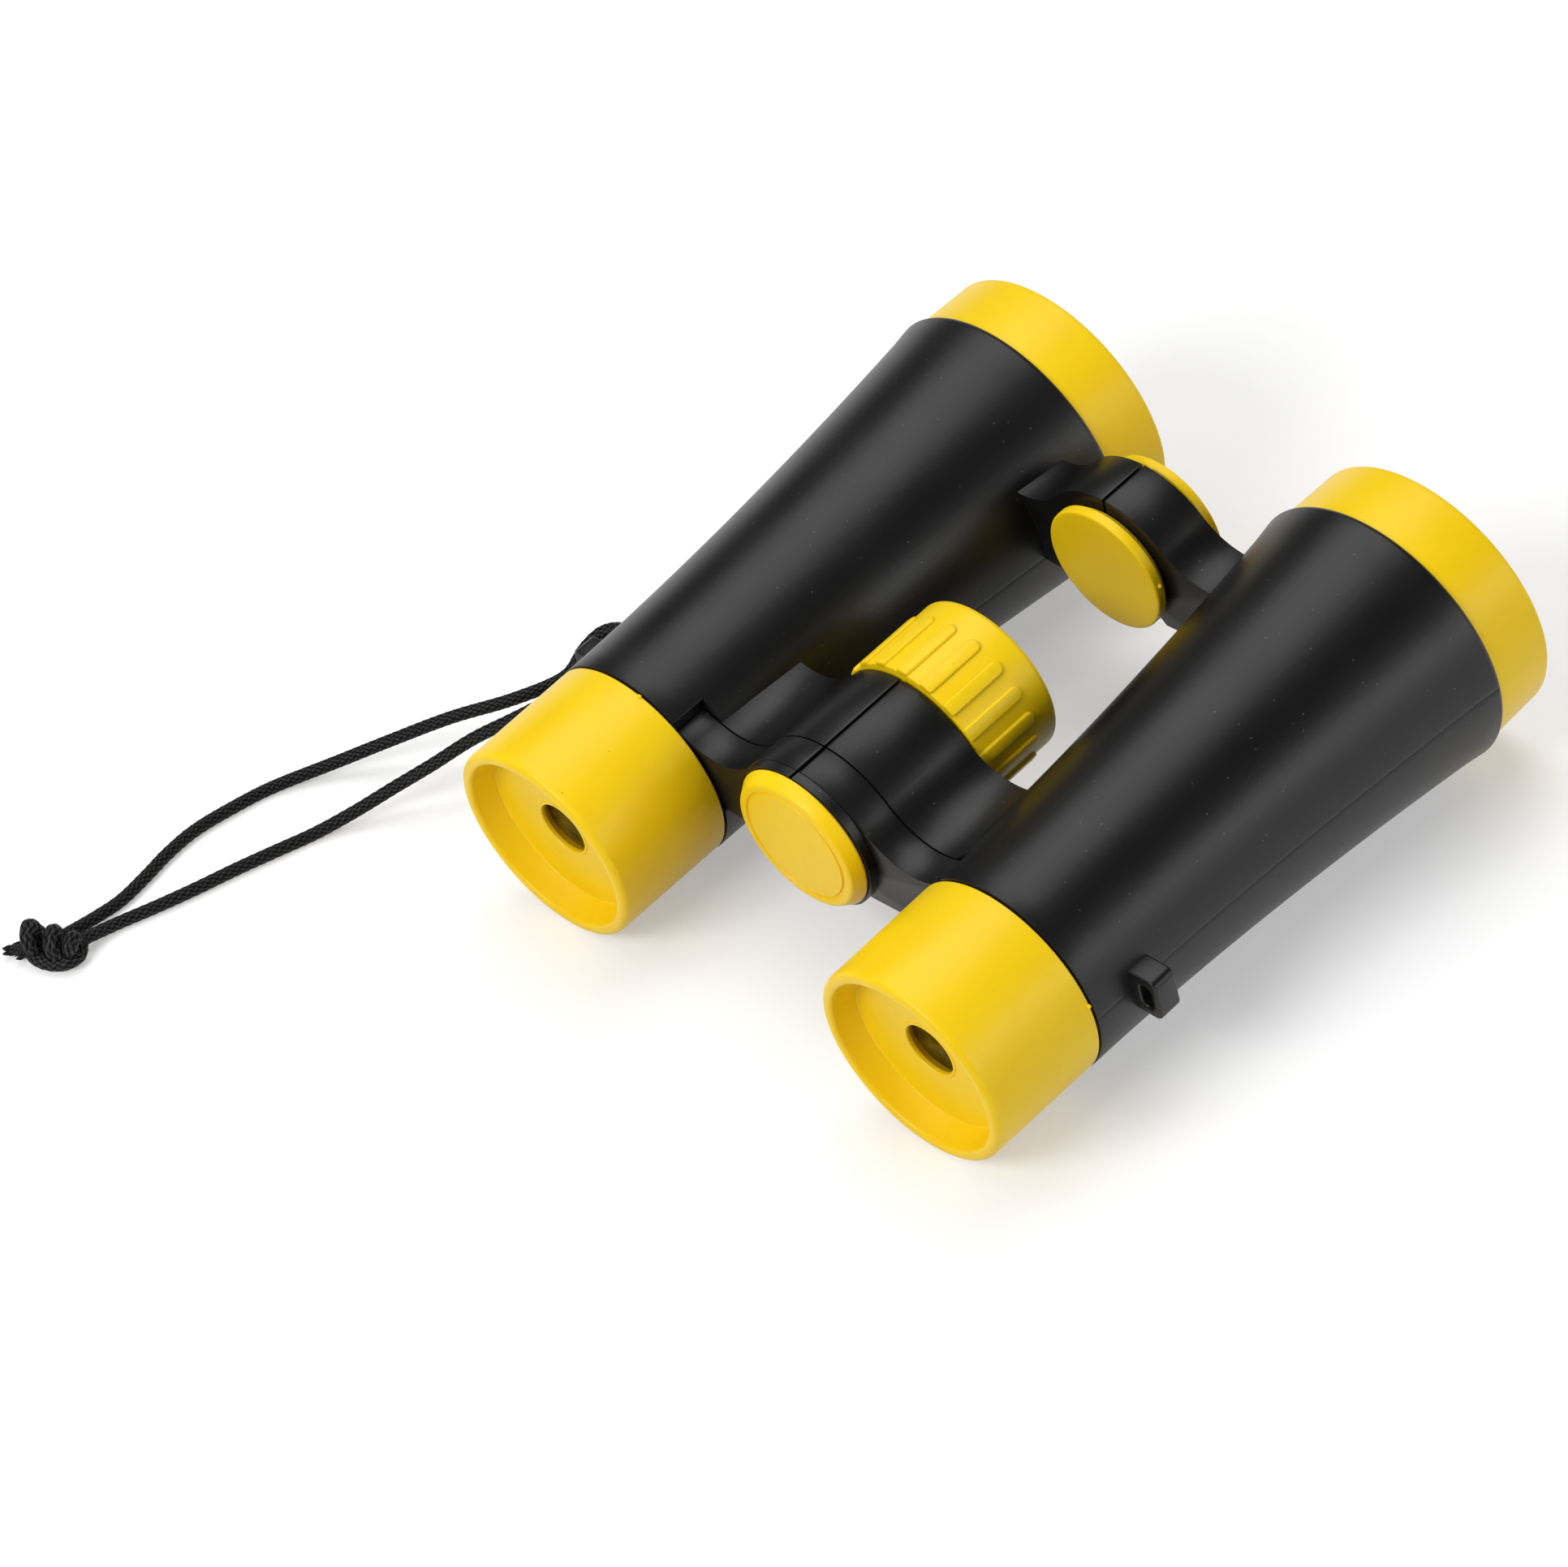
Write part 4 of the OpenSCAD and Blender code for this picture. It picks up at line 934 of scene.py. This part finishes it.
WHEEL_R = 12.3
WHEEL_REAR = 39.9
WHEEL_FRONT = 54.5
WHEEL_REAR_EDGE = 0.3
WHEEL_FRONT_EDGE = 1
WHEEL_BORE_R = 10.1
WHEEL_FLOOR_Y = WHEEL_REAR + 3
HUB_R = 4.6
HUB_FRONT = WHEEL_FRONT - 3
HUB_BORE_R = 2.2
RIB_COUNT = 18
RIB_W = 2.1
RIB_LEN = 10.4
RIB_H = 0.4
RIB_ROOT = 0.6
RIB_EDGE = 0.28
wheel = turned("ribbed_focus_wheel",
               arc(WHEEL_R - WHEEL_REAR_EDGE, WHEEL_REAR + WHEEL_REAR_EDGE, WHEEL_REAR_EDGE, -90, 0, 4)
               + arc(WHEEL_R - WHEEL_FRONT_EDGE, WHEEL_FRONT - WHEEL_FRONT_EDGE, WHEEL_FRONT_EDGE, 0, 90, 8)
               + [(WHEEL_BORE_R + 0.2, WHEEL_FRONT), (WHEEL_BORE_R, WHEEL_FRONT - 0.2),
                  (WHEEL_BORE_R, WHEEL_FLOOR_Y + 0.4), (WHEEL_BORE_R - 0.4, WHEEL_FLOOR_Y),
                  (HUB_R, WHEEL_FLOOR_Y), (HUB_R, HUB_FRONT), (HUB_BORE_R, HUB_FRONT),
                  (HUB_BORE_R, WHEEL_REAR)])


def rib(turn):
    """One low rib with soft edges and a round front end, turned into its place."""
    half = RIB_W / 2
    front = WHEEL_REAR + RIB_LEN - half
    outline = [(-half, WHEEL_REAR), (-half, front)]
    outline += [(-half * math.cos(t), front + half * math.sin(t))
                for t in (math.radians(15 * i) for i in range(1, 12))]
    outline += [(half, front), (half, WHEEL_REAR)]
    piece = draw_line("rib", [(x, y, HINGE_Z + WHEEL_R - RIB_ROOT) for x, y in outline])
    edit(piece)
    bpy.ops.mesh.edge_face_add()
    bpy.ops.mesh.extrude_region_move(TRANSFORM_OT_translate={"value": (0, 0, (RIB_H + RIB_ROOT) * MM)})
    leave_edit()
    settle(piece)
    tidy_mesh(piece)
    round_edges(piece, RIB_EDGE, 3, 50)
    edit(piece)
    bpy.ops.transform.rotate(value=turn, orient_axis="Y", center_override=(0, 0, HINGE_Z * MM))
    leave_edit()
    return piece


join(wheel, [rib(2 * math.pi * i / RIB_COUNT) for i in range(RIB_COUNT)])
finish_piece(wheel, "wheel", yellow_plastic, ["focus_wheel"])

# Pieces of the solid model that keep their own shape, in their finishes

KEPT = {
    amber_lens: ["left_objective_lens", "right_objective_lens", "left_eye_lens", "right_eye_lens"],
    black_plastic: ["left_lens_retainer", "right_lens_retainer"],
    steel: ["left_case_screws", "right_case_screws", "focus_screw", "wheel_screw", "screw_clip",
            "thrust_washer", "hinge_tube", "front_hinge_pin"],
    brass: ["focus_nut"],
}
for material, nodes in KEPT.items():
    for node in nodes:
        piece = bpy.data.objects[node]
        piece.data.materials.clear()
        piece.data.materials.append(material)

# Floor, sky and lamps

deselect()
bpy.ops.mesh.primitive_plane_add(size=8, location=(0, 0, -0.0001))
floor = bpy.context.object
floor.name = "studio_floor"
paper, tree, shader = new_material("white_paper")
place = add_node(tree, "ShaderNodeTexCoord").outputs["Object"]
fibre = add_node(tree, "ShaderNodeTexNoise", {"Vector": place, "Scale": 900.0, "Detail": 2.0})
tone = add_node(tree, "ShaderNodeMix", {0: fibre.outputs["Fac"]}, data_type="RGBA")
tone.inputs[6].default_value = (0.62, 0.62, 0.62, 1)
tone.inputs[7].default_value = (0.66, 0.66, 0.66, 1)
tree.links.new(tone.outputs[2], shader.inputs["Base Color"])
shader.inputs["Roughness"].default_value = 0.9
shader.inputs["Emission Color"].default_value = (1, 1, 1, 1)
rays = add_node(tree, "ShaderNodeLightPath")
seen = add_node(tree, "ShaderNodeMath", {0: rays.outputs["Is Camera Ray"],
                                         1: rays.outputs["Is Transmission Ray"]}, operation="MAXIMUM")
seen = add_node(tree, "ShaderNodeMath", {0: seen.outputs[0], 1: rays.outputs["Is Glossy Ray"]},
                operation="MAXIMUM")
# The paper stays white where the lamps no longer reach it
reach = add_node(tree, "ShaderNodeVectorMath", {0: place}, operation="LENGTH")
glow = add_node(tree, "ShaderNodeMapRange", {"Value": reach.outputs["Value"], "From Min": 0.35,
                                             "From Max": 0.9, "To Min": 0.38, "To Max": 0.8})
lift = add_node(tree, "ShaderNodeMath", {0: seen.outputs[0], 1: glow.outputs[0]}, operation="MULTIPLY")
tree.links.new(lift.outputs[0], shader.inputs["Emission Strength"])
floor.data.materials.append(paper)

world = bpy.data.worlds.new("studio")
bpy.context.scene.world = world
world.use_nodes = True
tree = world.node_tree
sky = tree.nodes["Background"]
rays = add_node(tree, "ShaderNodeLightPath")
# White walls under a dark ceiling, as a lens and a gloss see them; the light itself is even
way = add_node(tree, "ShaderNodeTexCoord").outputs["Generated"]
height = add_node(tree, "ShaderNodeSeparateXYZ", {0: way})
walls = add_node(tree, "ShaderNodeMapRange", {"Value": height.outputs["Z"], "From Min": 0.03,
                                              "From Max": 0.2, "To Min": 1.0, "To Max": 0.06})
plain = add_node(tree, "ShaderNodeMath", {0: rays.outputs["Is Camera Ray"],
                                          1: rays.outputs["Is Transmission Ray"]}, operation="MAXIMUM")
plain = add_node(tree, "ShaderNodeMath", {0: plain.outputs[0], 1: rays.outputs["Is Glossy Ray"]},
                 operation="MAXIMUM")
strength = add_node(tree, "ShaderNodeMix", {0: plain.outputs[0], 2: 0.21, 3: walls.outputs[0]})
tree.links.new(strength.outputs[0], sky.inputs["Strength"])
sky.inputs["Color"].default_value = (1, 1, 1, 1)


def add_lamp(name, place, target, width, height, power):
    deselect()
    way = Vector(place) - Vector(target)
    bpy.ops.object.light_add(type="AREA", location=place, rotation=way.to_track_quat("Z", "Y").to_euler())
    lamp = bpy.context.object
    lamp.name = name
    lamp.data.shape = "RECTANGLE"
    lamp.data.size = width
    lamp.data.size_y = height
    lamp.data.energy = power


TOY_MIDDLE = (0, 0, 0.02)
add_lamp("key_softbox", (-0.45, -0.30, 0.85), TOY_MIDDLE, width=0.5, height=0.5, power=1.2)
add_lamp("back_left_softbox", (-0.29, 0.29, 0.91), TOY_MIDDLE, width=0.74, height=0.74, power=4.7)
add_lamp("camera_side_softbox", (-0.02, -0.74, 0.67), TOY_MIDDLE, width=0.5, height=0.4, power=5.8)
add_lamp("right_strip", (0.83, 0.28, 0.30), (0.03, 0, 0.03), width=0.9, height=0.3, power=2.5)

bpy.context.view_layer.update()
